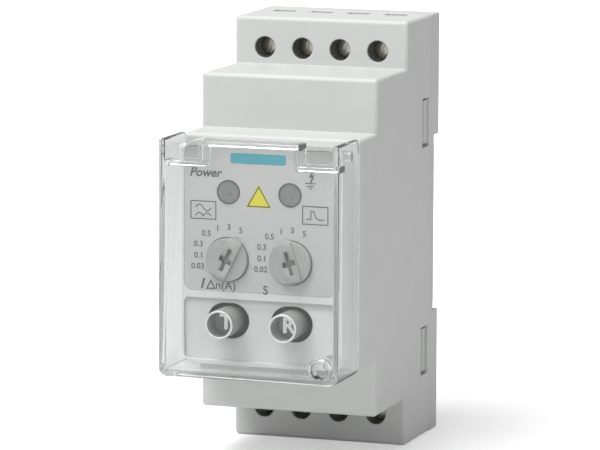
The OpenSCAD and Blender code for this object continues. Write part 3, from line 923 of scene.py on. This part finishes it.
@dataclass
class PressedSpring:
    """A coil spring, copied from its node with smooth faces."""

    node: str
    joint: str
    travel: float
    along: int
    clearance: float = 0.05

    def build(self) -> bpy.types.Object:
        """Makes the spring's copy.

        Returns:
            The piece.
        """
        low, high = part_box(self.node)
        shape = merged(self.node)
        for face in shape.faces:
            face.smooth = True
        piece = finished(self.node + "_coil", shape, SPRING_WIRE, "housing")
        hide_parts(self.node)
        anchor = (low + high) / 2
        anchor[self.along] = high.y if self.along == 1 else low.z
        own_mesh(piece)
        return piece


@dataclass
class Lamp:
    """One lamp window: a smoked light guide with a slightly domed face."""

    node: str
    x: float
    z: float = LAMP_Z
    radius: float = 2.3
    flange_r: float = 2.9
    guide_r: float = 1.8
    flange_back: float = 51.45
    flange_front: float = 52.25
    face: float = 54.0
    dome: float = 0.2

    def build(self) -> list[bpy.types.Object]:
        """Makes the lens and the dark printed ring round it.

        Returns:
            The two pieces.
        """
        rim, inner, back = self.flange_r, self.guide_r, depth_of(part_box(self.node)[1])
        low, high, edge = self.flange_back, self.flange_front, self.face - self.dome
        profile: list[Point] = [(0.0, back), (inner - 0.1, back), (inner, back + 0.1),
                                (inner, low), (rim - 0.05, low), (rim, low + 0.05),
                                (rim, high - 0.05), (rim - 0.05, high), (self.radius, high),
                                (self.radius, edge)]
        profile += [(self.radius * math.cos(math.radians(t)) if t < 90 else 0.0,
                     edge + self.dome * math.sin(math.radians(t)))
                    for t in (15, 30, 45, 60, 75, 90)]
        shape = lathe((self.x, self.z), profile)
        shaded(shape)
        lens = finished(self.node + "_guide", shape, SMOKED, "housing")
        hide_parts(self.node)
        ring = ring_mark((self.x, self.z), self.radius - 0.27, self.radius + 0.03,
                         self.face - 0.16, self.face - 0.03)
        mark = finished(self.node + "_ring", ring, RING_INK, "housing")
        return [lens, mark]


# ---- Print --------------------------------------------------------------------------

PRINT_BACK = 53.89
PRINT_FRONT = 53.92


def ring_mark(centre: Point, inner: float, outer: float, back: float, front: float,
              segments: int = 56) -> bmesh.types.BMesh:
    """A thin flat ring.

    Args:
        centre: Its centre in x and z.
        inner: Inner radius.
        outer: Outer radius.
        back: Distance of its back.
        front: Distance of its front.
        segments: Corners round it.

    Returns:
        The ring.
    """
    shape = bmesh.new()
    rings = [[shape.verts.new(spot(centre[0] + r * math.cos(a), centre[1] + r * math.sin(a), d))
              for a in (2 * math.pi * i / segments for i in range(segments))]
             for r, d in ((inner, back), (outer, back), (outer, front), (inner, front))]
    for k in range(4):
        band(shape, rings[k], rings[(k + 1) % 4])
    bmesh.ops.recalc_face_normals(shape, faces=shape.faces)
    return shape


def stroke(path: Sequence[Point], width: float, closed: bool = False) -> bmesh.types.BMesh:
    """A thin printed line along a path.

    Args:
        path: Points in x and z.
        width: Line width.
        closed: Whether the last point joins the first.

    Returns:
        The line as a thin solid.
    """
    points = [Vector(p) for p in path]
    count = len(points)
    left, right = [], []
    for i, here in enumerate(points):
        before = points[i - 1] if closed or i > 0 else None
        after = points[(i + 1) % count] if closed or i < count - 1 else None
        a = (here - before).normalized() if before is not None else None
        b = (after - here).normalized() if after is not None else None
        a, b = a or b, b or a
        along = (a + b).normalized() if (a + b).length > 1e-6 else a
        normal = Vector((-along.y, along.x))
        half = width / 2 / max(0.35, along.dot(a))
        left.append(here + normal * half)
        right.append(here - normal * half)
    shape = bmesh.new()
    rows = [[shape.verts.new(spot(p.x, p.y, d)) for p in side]
            for side, d in ((left, PRINT_BACK), (right, PRINT_BACK), (right, PRINT_FRONT),
                            (left, PRINT_FRONT))]
    for k in range(4):
        band(shape, rows[k], rows[(k + 1) % 4], closed)
    if not closed:
        shape.faces.new([row[0] for row in rows])
        shape.faces.new([row[-1] for row in rows])
    bmesh.ops.recalc_face_normals(shape, faces=shape.faces)
    return shape


def lettering(text: str, centre: Point, height: float, back: float, thickness: float,
              slant: float = 0.0, bold: float = 0.0) -> bmesh.types.BMesh:
    """Text as a thin solid facing the front.

    Args:
        text: What it says.
        centre: Its middle in x and z.
        height: Height of a capital.
        back: Distance of its back.
        thickness: How proud it stands.
        slant: Shear of an oblique face.
        bold: Thickening of each stroke, as a share of the height.

    Returns:
        The text's mesh.
    """
    capital = 0.73
    curve = bpy.data.curves.new("text", type="FONT")
    curve.body = text
    curve.align_x = "CENTER"
    curve.align_y = "CENTER"
    curve.size = height / capital
    curve.shear = slant
    curve.offset = bold * curve.size
    curve.resolution_u = 4
    curve.extrude = thickness / 2
    holder = bpy.data.objects.new("text", curve)
    bpy.context.scene.collection.objects.link(holder)
    graph = bpy.context.evaluated_depsgraph_get()
    mesh = bpy.data.meshes.new_from_object(holder.evaluated_get(graph))
    bpy.data.objects.remove(holder)
    bpy.data.curves.remove(curve)
    shape = bmesh.new()
    shape.from_mesh(mesh)
    bpy.data.meshes.remove(mesh)
    bmesh.ops.remove_doubles(shape, verts=shape.verts, dist=1e-4)
    xs = [v.co.x for v in shape.verts]
    ys = [v.co.y for v in shape.verts]
    shift = Vector(((min(xs) + max(xs)) / 2, (min(ys) + max(ys)) / 2, -thickness / 2))
    turn = Matrix(((MM, 0, 0, centre[0] * MM), (0, 0, -MM, -back * MM),
                   (0, MM, 0, centre[1] * MM), (0, 0, 0, 1)))
    for vert in shape.verts:
        vert.co = turn @ (vert.co - shift)
    bmesh.ops.recalc_face_normals(shape, faces=shape.faces)
    return shape


@dataclass
class PrintedFace:
    """Everything printed on the label."""

    number_h: float = 1.15
    line: float = 0.2
    left_numbers: tuple[str, ...] = ("0.03", "0.1", "0.3", "0.5", "1", "3", "5")
    right_numbers: tuple[str, ...] = ("0.02", "0.1", "0.3", "0.5", "1", "3", "5")
    number_places: tuple[Point, ...] = ((-6.05, -1.5), (-5.95, 0.6), (-5.9, 2.8), (-4.3, 4.9),
                                        (-1.95, 6.0), (0.3, 6.3), (2.7, 5.75))
    proud: float = PRINT_FRONT - PRINT_BACK

    def text(self, words: str, centre: Point, height: float, slant: float = 0.0,
             bold: float = 0.0) -> bmesh.types.BMesh:
        """A word printed on the label."""
        return lettering(words, centre, height, PRINT_BACK, self.proud, slant, bold)

    def numbers(self) -> list[bmesh.types.BMesh]:
        """The numbers round both dials.

        Returns:
            One mesh for each number.
        """
        marks = []
        for x, words in ((-CONTROL_X, self.left_numbers),
                         (CONTROL_X, self.right_numbers)):
            for word, (across, up) in zip(words, self.number_places):
                marks.append(self.text(word, (x + across, DIAL_Z + up), self.number_h,
                                       bold=0.016))
        return marks

    def frame_mark(self, low: Point, high: Point) -> bmesh.types.BMesh:
        """A rectangular frame line."""
        return stroke([low, (high[0], low[1]), high, (low[0], high[1])], self.line, True)

    def wave(self, start: Point, width: float, height: float,
             rectified: bool) -> bmesh.types.BMesh:
        """One period of a sine, or of a rectified sine.

        Args:
            start: Left end in x and z.
            width: Length of the period.
            height: Swing on each side.
            rectified: Whether the lower half is turned up.

        Returns:
            The line.
        """
        steps = 28
        path = []
        for i in range(steps + 1):
            swing = math.sin(2 * math.pi * i / steps)
            path.append((start[0] + width * i / steps,
                         start[1] + height * (abs(swing) if rectified else swing)))
        return stroke(path, self.line)

    def symbols(self) -> list[bmesh.types.BMesh]:
        """The two framed symbols, the earth-leakage symbol and the mark of the left dial.

        Returns:
            Their meshes.
        """
        marks = [self.frame_mark((-13.8, 6.95), (-8.75, 10.35)),
                 self.frame_mark((8.75, 6.95), (13.8, 10.35)),
                 self.wave((-12.9, 9.1), 3.2, 0.62, False),
                 self.wave((-12.9, 7.5), 3.2, 0.62, True)]
        decay = [(9.5, 7.9), (10.4, 7.9), (10.4, 9.5), (10.9, 9.5)]
        decay += [(10.9 + 1.0 * t, 9.5 - 1.6 * math.sin(math.pi / 2 * t))
                  for t in (0.2, 0.4, 0.6, 0.8, 1.0)]
        decay.append((13.0, 7.85))
        marks.append(stroke(decay, self.line))
        marks.append(stroke([(10.95, 17.25), (10.25, 16.05), (10.85, 16.2), (10.35, 14.9)],
                            self.line * 1.6))
        for z, half in ((14.75, 1.1), (14.2, 0.7), (13.75, 0.32)):
            marks.append(stroke([(10.3 - half, z), (10.3 + half, z)], self.line))
        marks.append(stroke([(-10.55, -6.45), (-9.0, -6.45), (-9.78, -4.95)], 0.28, True))
        return marks

    def words(self) -> list[bmesh.types.BMesh]:
        """The generic words and unit marks.

        Returns:
            Their meshes.
        """
        return [self.text("Power", (-10.7, 15.95), 1.75, 0.25, 0.022),
                self.text("I", (-11.35, -5.5), 1.95, 0.25, 0.03),
                self.text("n(A)", (-6.75, -5.95), 1.7, bold=0.008),
                self.text("S", (1.35, -6.2), 1.75, bold=0.012)]

    def build(self) -> list[bpy.types.Object]:
        """Prints the label.

        Returns:
            The printed pieces, one for each ink.
        """
        dark = joined([*self.numbers(), *self.symbols(), *self.words()])
        triangle = [(-2.75, 9.55), (2.6, 9.55), (-0.08, 14.1)]
        field_shape = prism(triangle, PRINT_BACK, PRINT_FRONT - 0.01)
        border = [(-2.3, 9.8), (2.15, 9.8), (-0.08, 13.6)]
        outline = stroke(border, 0.24, True)
        strip = rounded_strip((-5.8, 17.9), (5.4, 19.9), 0.5)
        return [finished("label_print", dark, INK, "housing"),
                finished("label_yellow_mark", field_shape, YELLOW, "housing"),
                finished("label_mark_border", outline, INK, "housing"),
                finished("label_teal_strip", strip, TEAL, "housing")]


def rounded_strip(low: Point, high: Point, radius: float) -> bmesh.types.BMesh:
    """A printed strip with round corners.

    Args:
        low: Lower left corner.
        high: Upper right corner.
        radius: Corner radius.

    Returns:
        The strip as a thin solid.
    """
    outline = []
    for x, z, start in ((high[0] - radius, low[1] + radius, -90), (high[0] - radius,
                        high[1] - radius, 0), (low[0] + radius, high[1] - radius, 90),
                        (low[0] + radius, low[1] + radius, 180)):
        for step in range(5):
            angle = math.radians(start + 22.5 * step)
            outline.append((x + radius * math.cos(angle), z + radius * math.sin(angle)))
    return prism(outline, PRINT_BACK, PRINT_FRONT)


# ---- Repeated parts, the screws and the winding made by Geometry Nodes --------------


class NodeShape:
    """A Geometry Nodes tree with named inputs that ends in one plain mesh."""

    def __init__(self, name: str, sizes: dict[str, float]) -> None:
        """Starts the tree.

        Args:
            name: The tree's name.
            sizes: Named inputs and their default values.
        """
        self.tree = bpy.data.node_groups.new(name, "GeometryNodeTree")
        self.graph = Graph(self.tree)
        face = self.tree.interface
        face.new_socket("Geometry", in_out="INPUT", socket_type="NodeSocketGeometry")
        self.ids: dict[str, str] = {}
        for label, value in sizes.items():
            socket = face.new_socket(label, in_out="INPUT", socket_type="NodeSocketFloat")
            socket.default_value = value
            self.ids[label] = socket.identifier
        material = face.new_socket("Material", in_out="INPUT", socket_type="NodeSocketMaterial")
        self.ids["Material"] = material.identifier
        face.new_socket("Geometry", in_out="OUTPUT", socket_type="NodeSocketGeometry")
        self.inputs = self.graph.add("NodeGroupInput")
        self.output = self.graph.add("NodeGroupOutput")

    def size(self, label: str) -> bpy.types.NodeSocket:
        """The socket of a named input."""
        return self.inputs.outputs[label]

    def filled(self, node: bpy.types.Node, values: Sequence[object]) -> bpy.types.NodeSocket:
        """Sets or links a node's inputs in order.

        Args:
            node: The node.
            values: A number or a socket for each input.

        Returns:
            The node's first output.
        """
        for target, value in zip(node.inputs, values):
            if isinstance(value, bpy.types.NodeSocket):
                self.graph.link(value, target)
            else:
                target.default_value = value
        return node.outputs[0]

    def maths(self, operation: str, *values: object) -> bpy.types.NodeSocket:
        """The result of a Math node on sockets or numbers."""
        return self.filled(self.graph.add("ShaderNodeMath", operation=operation), values)

    def vector(self, *values: object) -> bpy.types.NodeSocket:
        """A vector from three sockets or numbers."""
        return self.filled(self.graph.add("ShaderNodeCombineXYZ"), values)

    def wire(self, kind: str, sockets: dict[str, object],
             **options: object) -> bpy.types.Node:
        """A node with its inputs set or linked by name.

        Args:
            kind: The node's type name.
            sockets: Input names with a socket or a value.
            options: Attributes to set on the node.

        Returns:
            The node.
        """
        node = self.graph.add(kind, **options)
        for label, value in sockets.items():
            if isinstance(value, bpy.types.NodeSocket):
                self.graph.link(value, node.inputs[label])
            else:
                node.inputs[label].default_value = value
        return node

    def close(self, geometry: bpy.types.NodeSocket) -> None:
        """Ends the tree in Realize Instances and Set Material."""
        real = self.wire("GeometryNodeRealizeInstances", {"Geometry": geometry})
        dress = self.wire("GeometryNodeSetMaterial", {"Geometry": real.outputs[0],
                                                      "Material": self.size("Material")})
        self.graph.link(dress.outputs[0], self.output.inputs[0])

    def mesh(self, base: bpy.types.Mesh, values: dict[str, float],
             material: bpy.types.Material) -> bpy.types.Mesh:
        """Runs the tree and returns its result as a plain mesh.

        Args:
            base: The mesh it starts from.
            values: Values of the named inputs.
            material: The material it sets.

        Returns:
            The result, with no modifier left.
        """
        holder = bpy.data.objects.new("shaper", base)
        bpy.context.scene.collection.objects.link(holder)
        modifier = holder.modifiers.new("shape", "NODES")
        modifier.node_group = self.tree
        modifier[self.ids["Material"]] = material
        for label, value in values.items():
            modifier[self.ids[label]] = value
        graph = bpy.context.evaluated_depsgraph_get()
        result = bpy.data.meshes.new_from_object(holder.evaluated_get(graph))
        holder.modifiers.remove(modifier)
        bpy.data.objects.remove(holder)
        return result


@dataclass
class TerminalScrews:
    """The eight slotted terminal screws, made by one tree."""

    head_front: float = 13.7
    head_h: float = 1.2
    head_r: float = 2.35
    shank_r: float = 1.5
    length: float = 4.4
    thread_pitch: float = 0.5
    thread_wire: float = 0.13
    thread_turns: float = 7.0
    slot_w: float = 0.7
    slot_d: float = 0.7
    slot_l: float = 6.0
    chamfer: float = 0.22

    def tree(self) -> NodeShape:
        """The tree of one screw: a turned head and core, a thread and a cut slot.

        Returns:
            The finished tree.
        """
        shape = NodeShape("terminal_screw_shape", {
            "Head Radius": self.head_r * MM, "Shank Radius": self.shank_r * MM,
            "Thread Pitch": self.thread_pitch * MM, "Turns": self.thread_turns,
            "Slot Width": self.slot_w * MM, "Slot Depth": self.slot_d * MM,
            "Slot Angle": 0.0, "X": 0.0, "Z": 0.0, "Front": self.head_front * MM})
        wire_r = self.thread_wire * MM
        thread_r = shape.maths("SUBTRACT", shape.size("Shank Radius"), wire_r)
        thread = shape.wire("GeometryNodeCurveSpiral", {
            "Resolution": 14, "Rotations": shape.size("Turns"),
            "Start Radius": thread_r, "End Radius": thread_r,
            "Height": shape.maths("MULTIPLY", shape.size("Turns"), shape.size("Thread Pitch"))})
        wire = shape.wire("GeometryNodeCurvePrimitiveCircle",
                          {"Resolution": 5, "Radius": wire_r}, mode="RADIUS")
        ridge = shape.wire("GeometryNodeCurveToMesh", {
            "Curve": thread.outputs[0], "Profile Curve": wire.outputs[0], "Fill Caps": True})
        lifted = shape.wire("GeometryNodeTransform", {
            "Geometry": ridge.outputs[0],
            "Translation": shape.vector(0.0, 0.0, -(self.head_h + self.length - 0.4) * MM)})
        cutter = shape.wire("GeometryNodeMeshCube", {
            "Size": shape.vector(self.slot_l * MM, shape.size("Slot Width"),
                                 shape.maths("MULTIPLY", shape.size("Slot Depth"), 2.0))})
        turned = shape.wire("GeometryNodeTransform", {
            "Geometry": cutter.outputs[0],
            "Rotation": shape.vector(0.0, 0.0, shape.size("Slot Angle"))})
        cut = shape.wire("GeometryNodeMeshBoolean", {"Mesh 1": shape.inputs.outputs["Geometry"]},
                         operation="DIFFERENCE", solver="EXACT")
        shape.graph.link(turned.outputs[0], cut.inputs["Mesh 2"])
        both = shape.graph.add("GeometryNodeJoinGeometry")
        shape.graph.link(cut.outputs[0], both.inputs[0])
        shape.graph.link(lifted.outputs[0], both.inputs[0])
        upright = shape.wire("GeometryNodeTransform", {
            "Geometry": both.outputs[0], "Rotation": (math.pi / 2, 0.0, 0.0),
            "Translation": shape.vector(shape.size("X"),
                                        shape.maths("MULTIPLY", shape.size("Front"), -1.0),
                                        shape.size("Z"))})
        shape.close(upright.outputs[0])
        return shape

    def blank(self) -> bpy.types.Mesh:
        """The turned screw without its slot and thread, head up at the origin.

        Returns:
            The mesh, its top at z 0.
        """
        core = self.shank_r - 0.25
        tip = -(self.head_h + self.length)
        profile = [(0.0, -tip), (core - 0.3, -tip), (core, -tip - 0.3), (core, self.head_h),
                   (self.head_r - 0.08, self.head_h), (self.head_r, self.head_h - 0.08),
                   (self.head_r, self.chamfer), (self.head_r - 0.07, self.chamfer * 0.35),
                   (self.head_r - self.chamfer, 0.0), (0.0, 0.0)]
        shape = lathe((0.0, 0.0), profile, 40)
        bmesh.ops.transform(shape, matrix=Matrix.Rotation(math.radians(90), 4, "X"),
                            verts=shape.verts)
        bmesh.ops.recalc_face_normals(shape, faces=shape.faces)
        return as_mesh("screw_blank", shape)

    def build(self) -> list[bpy.types.Object]:
        """Makes one screw for each terminal.

        Returns:
            The eight pieces.
        """
        tree, pieces = self.tree(), []
        for number in range(1, 9):
            row, column = divmod(number - 1, 4)
            node = f"terminal_screw_{number}"
            mesh = tree.mesh(self.blank(), {
                "Slot Angle": math.radians(60 + 7 * (number % 3)),
                "X": (column - 1.5) * TERMINAL_PITCH * MM,
                "Z": (TERMINAL_Z if row == 0 else -TERMINAL_Z) * MM}, NICKEL.material())
            shape = bmesh.new()
            shape.from_mesh(mesh)
            bpy.data.meshes.remove(mesh)
            bmesh.ops.remove_doubles(shape, verts=shape.verts, dist=1e-7)
            shaded(shape)
            piece = finished(node + "_slotted", shape, NICKEL, node)
            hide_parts(node)
            pieces.append(piece)
        return pieces


@dataclass
class DarkHoleTubes:
    """Dark thin tubes inside the screwdriver holes, which make their walls darker than the housing.
    """

    outer: float = 2.14
    inner: float = 2.02
    back: float = 13.82
    front: float = 17.6

    def build(self) -> bpy.types.Object:
        """Makes the eight tubes as one piece.

        Returns:
            The piece.
        """
        rings = [ring_mark(((column - 1.5) * TERMINAL_PITCH, row * TERMINAL_Z), self.inner,
                           self.outer, self.back, self.front, 40)
                 for row in (1, -1) for column in range(4)]
        shape = joined(rings)
        shaded(shape)
        return finished("dark_hole_tubes", shape, HOLE_TUBE_DARK_GREY, "housing")


@dataclass
class CoilWinding:
    """The transformer's winding as turns of wire on its sleeve."""

    node: str = "transformer_winding"
    turns: int = 22
    corner: float = 1.2
    opening: Point = (3.9, 5.4)

    def tree(self, size: Vector) -> NodeShape:
        """The tree of the turns: one rounded ring, repeated up the coil.

        Args:
            size: Width, depth and height of the coil in metres.

        Returns:
            The finished tree.
        """
        shape = NodeShape("winding_shape", {
            "Width": size.x, "Depth": size.y, "Height": size.z, "Turns": float(self.turns)})
        wire_r = shape.maths("DIVIDE", shape.size("Height"),
                             shape.maths("MULTIPLY", shape.size("Turns"), 2.0))
        double = shape.maths("MULTIPLY", wire_r, 2.0)
        frame_curve = shape.wire("GeometryNodeCurvePrimitiveQuadrilateral", {
            "Width": shape.maths("SUBTRACT", shape.size("Width"), double),
            "Height": shape.maths("SUBTRACT", shape.size("Depth"), double)})
        fillet = shape.wire("GeometryNodeFilletCurve", {
            "Curve": frame_curve.outputs[0], "Radius": self.corner * MM})
        for socket in fillet.inputs:
            if socket.name == "Count":
                socket.default_value = 4
        if hasattr(fillet, "mode"):
            fillet.mode = "POLY"
        section = shape.wire("GeometryNodeCurvePrimitiveCircle",
                             {"Resolution": 8, "Radius": wire_r}, mode="RADIUS")
        ring = shape.wire("GeometryNodeCurveToMesh", {
            "Curve": fillet.outputs[0], "Profile Curve": section.outputs[0]})
        stack = shape.wire("GeometryNodeMeshLine", {
            "Count": self.turns, "Start Location": shape.vector(0.0, 0.0, wire_r),
            "Offset": shape.vector(0.0, 0.0, double)}, mode="OFFSET")
        copies = shape.wire("GeometryNodeInstanceOnPoints", {
            "Points": stack.outputs[0], "Instance": ring.outputs[0]})
        both = shape.graph.add("GeometryNodeJoinGeometry")
        shape.graph.link(copies.outputs[0], both.inputs[0])
        shape.graph.link(shape.inputs.outputs["Geometry"], both.inputs[0])
        shape.close(both.outputs[0])
        return shape

    def sleeve(self, size: Vector, wall_in: tuple[float, float]) -> bpy.types.Mesh:
        """The coil's body under the outer turns: a closed rectangular tube.

        Args:
            size: Width, depth and height of the coil in metres.
            wall_in: Half width and half depth of its opening.

        Returns:
            The tube's mesh, its foot at z 0.
        """
        inset = size.z / self.turns / 2
        halves = [(size.x / 2 - inset, size.y / 2 - inset), wall_in]
        shape = bmesh.new()
        rows = []
        for z in (inset, size.z - inset):
            for half in halves:
                rows.append([shape.verts.new((sx * half[0], sy * half[1], z))
                             for sx, sy in ((-1, -1), (1, -1), (1, 1), (-1, 1))])
        low_out, low_in, high_out, high_in = rows
        for i in range(4):
            j = (i + 1) % 4
            shape.faces.new((low_out[i], low_out[j], high_out[j], high_out[i]))
            shape.faces.new((low_in[j], low_in[i], high_in[i], high_in[j]))
            shape.faces.new((low_in[i], low_in[j], low_out[j], low_out[i]))
            shape.faces.new((high_out[i], high_out[j], high_in[j], high_in[i]))
        bmesh.ops.recalc_face_normals(shape, faces=shape.faces)
        return as_mesh("coil_sleeve", shape)

    def build(self) -> bpy.types.Object:
        """Makes the winding in place of its node.

        Returns:
            The piece.
        """
        low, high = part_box(self.node)
        size, middle = high - low, (low + high) / 2
        sleeve = self.sleeve(size, (self.opening[0] * MM, self.opening[1] * MM))
        mesh = self.tree(size).mesh(sleeve, {}, COPPER.material())
        mesh.transform(Matrix.Translation((middle.x, middle.y, low.z)))
        for face in mesh.polygons:
            face.use_smooth = True
        piece = placed("winding_turns", mesh, COPPER, "housing")
        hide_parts(self.node)
        return piece


# ---- Stage --------------------------------------------------------------------------


@dataclass
class Studio:
    """A pale floor, soft lamps and the camera."""

    floor_z: float = -0.0423
    floor_r: float = 3.0
    camera_at: tuple[float, float, float] = (0.2642, -0.8019, 0.1258)
    camera_aim: tuple[float, float, float] = (-0.0001, -0.030, 0.00286)
    lens: float = 253.0
    roll: float = 0.19
    ambient: float = 0.30
    seen_in_gloss: float = 0.75
    seen_through: float = 0.5

    def brightness(self, graph: "Graph") -> bpy.types.NodeSocket:
        """How bright the surround is: white to the camera, plain grey as a light.

        Args:
            graph: The node tree it is made in.

        Returns:
            The strength socket.
        """
        path = graph.add("ShaderNodeLightPath")
        total = None
        for ray, strength in (("Is Camera Ray", 1.0), ("Is Glossy Ray", self.seen_in_gloss),
                              ("Is Transmission Ray", self.seen_through)):
            scaled = graph.add("ShaderNodeMath", operation="MULTIPLY")
            graph.link(path.outputs[ray], scaled.inputs[0])
            scaled.inputs[1].default_value = strength
            most = graph.add("ShaderNodeMath", operation="MAXIMUM")
            graph.link(scaled.outputs[0], most.inputs[0])
            if total is None:
                most.inputs[1].default_value = self.ambient
            else:
                graph.link(total, most.inputs[1])
            total = most.outputs[0]
        return total

    def world(self) -> None:
        """A soft grey surround that the camera sees as white."""
        world = bpy.data.worlds.new("studio")
        bpy.context.scene.world = world
        world.use_nodes = True
        soft = world.node_tree.nodes["Background"]
        soft.inputs["Color"].default_value = (1.0, 1.0, 1.0, 1.0)
        graph = Graph(world.node_tree)
        graph.link(self.brightness(graph), soft.inputs["Strength"])

    def whiten(self, material: bpy.types.Material) -> None:
        """Lifts the floor to white for the camera and leaves the shadow by the object.

        Args:
            material: The floor's material.
        """
        graph = Graph(material.node_tree)
        away = graph.add("ShaderNodeVectorMath", operation="LENGTH")
        graph.link(graph.add("ShaderNodeTexCoord").outputs["Object"], away.inputs[0])
        lift = graph.add("ShaderNodeMapRange")
        for label, value in (("From Min", 0.06), ("From Max", 0.30), ("To Min", 0.35),
                             ("To Max", 0.95)):
            lift.inputs[label].default_value = value
        graph.link(away.outputs["Value"], lift.inputs["Value"])
        seen = graph.add("ShaderNodeMath", operation="MULTIPLY")
        graph.link(lift.outputs["Result"], seen.inputs[0])
        graph.link(graph.add("ShaderNodeLightPath").outputs["Is Camera Ray"], seen.inputs[1])
        glow = graph.add("ShaderNodeEmission")
        graph.link(seen.outputs[0], glow.inputs["Strength"])
        both = graph.add("ShaderNodeAddShader")
        graph.link(material.node_tree.nodes["Principled BSDF"].outputs[0], both.inputs[0])
        graph.link(glow.outputs[0], both.inputs[1])
        graph.link(both.outputs[0], material.node_tree.nodes["Material Output"].inputs["Surface"])

    def floor(self) -> None:
        """A round pale floor under the object."""
        shape = bmesh.new()
        bmesh.ops.create_circle(shape, cap_ends=True, segments=96, radius=self.floor_r)
        bmesh.ops.translate(shape, verts=shape.verts, vec=(0.0, 0.0, self.floor_z))
        mesh = as_mesh("floor", shape)
        pale = Finish("pale_floor", (0.80, 0.80, 0.80), 0.6, grain=3.0, variation=0.01).material()
        self.whiten(pale)
        mesh.materials.append(pale)
        disc = bpy.data.objects.new("floor", mesh)
        bpy.context.scene.collection.objects.link(disc)

    def lamp(self, name: str, direction: Sequence[float], power: float, size: float,
             distance: float = 1.1) -> None:
        """A soft square lamp that looks at the object.

        Args:
            name: The lamp's name.
            direction: Where it stands, seen from the object.
            power: Its power in watts.
            size: Side of its square.
            distance: How far it stands.
        """
        light = bpy.data.lights.new(name, "AREA")
        light.energy = power
        light.size = size
        at = Vector(direction).normalized() * distance
        holder = bpy.data.objects.new(name, light)
        holder.location = at
        holder.rotation_mode = "QUATERNION"
        holder.rotation_quaternion = (-at).to_track_quat("-Z", "Y")
        bpy.context.scene.collection.objects.link(holder)

    def camera(self) -> None:
        """The camera, looking a little down from the right."""
        data = bpy.data.cameras.new("camera")
        data.lens = self.lens
        data.sensor_width = 36.0
        data.clip_start = 0.05
        data.clip_end = 20.0
        holder = bpy.data.objects.new("camera", data)
        holder.location = self.camera_at
        look = Vector(self.camera_aim) - Vector(self.camera_at)
        holder.rotation_mode = "QUATERNION"
        holder.rotation_quaternion = look.to_track_quat("-Z", "Y") @ Quaternion(
            (0.0, 0.0, 1.0), math.radians(self.roll))
        bpy.context.scene.collection.objects.link(holder)
        bpy.context.scene.camera = holder

    def build(self) -> None:
        """Sets the stage."""
        bpy.context.scene.view_settings.view_transform = "Standard"
        self.world()
        self.floor()
        self.lamp("key", (-0.28, -0.43, 1.05), 13.4, 0.7)
        self.lamp("fill", (0.75, -0.65, 0.2), 1.8, 0.8)
        self.camera()


# ---- Assembly -----------------------------------------------------------------------


def dress_carried() -> None:
    """Gives every CAD node that stays its own finish."""
    for name, finish in CARRIED.items():
        node = NODES[name]
        if not node.material_slots:
            node.data.materials.append(finish.material())
        for place in node.material_slots:
            place.material = finish.material()
        LOG.info("%s wears %s", name, finish.name)


def mouldings() -> list[Moulding]:
    """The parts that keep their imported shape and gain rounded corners.

    Returns:
        The parts in building order.
    """
    return [
        Shell("front_housing", "front_shell", "housing", "housing", HOUSING),
        BackShell("rear_base", "rear_shell", "housing", "base", BASE),
        RaisedPanel("front_panel", "raised_panel", "housing", "panel", PANEL),
        ClearCover("hinged_cover", "clear_cover", "cover", "cover", CLEAR, 0.22, 3),
        Dial("sensitivity_knob", "sensitivity_dial", "sensitivity_selector_knob", "knob",
             DIAL, 0.12, x=-CONTROL_X),
        Dial("delay_knob", "delay_dial", "delay_selector_knob", "knob", DIAL, 0.12,
             x=CONTROL_X),
    ]


def main() -> None:
    """Builds every piece in order."""
    logging.basicConfig(level=logging.INFO, format="%(message)s")
    dress_carried()
    for part in mouldings():
        part.build()
    for key in (PushKey("test_button", "test_key", "T", -CONTROL_X),
                PushKey("reset_button", "reset_key", "R", CONTROL_X)):
        key.build()
    for lamp in (Lamp("power_lens", -LAMP_X), Lamp("trip_lens", LAMP_X)):
        lamp.build()
    for spring in (PressedSpring("test_spring", "test_press", 1.2, 1),
                   PressedSpring("reset_spring", "reset_press", 1.2, 1),
                   PressedSpring("latch_spring", "latch_pull", 2.2, 2)):
        spring.build()
    PrintedFace().build()
    DarkHoleTubes().build()
    TerminalScrews().build()
    CoilWinding().build()
    Studio().build()


if __name__ == "__main__":
    main()
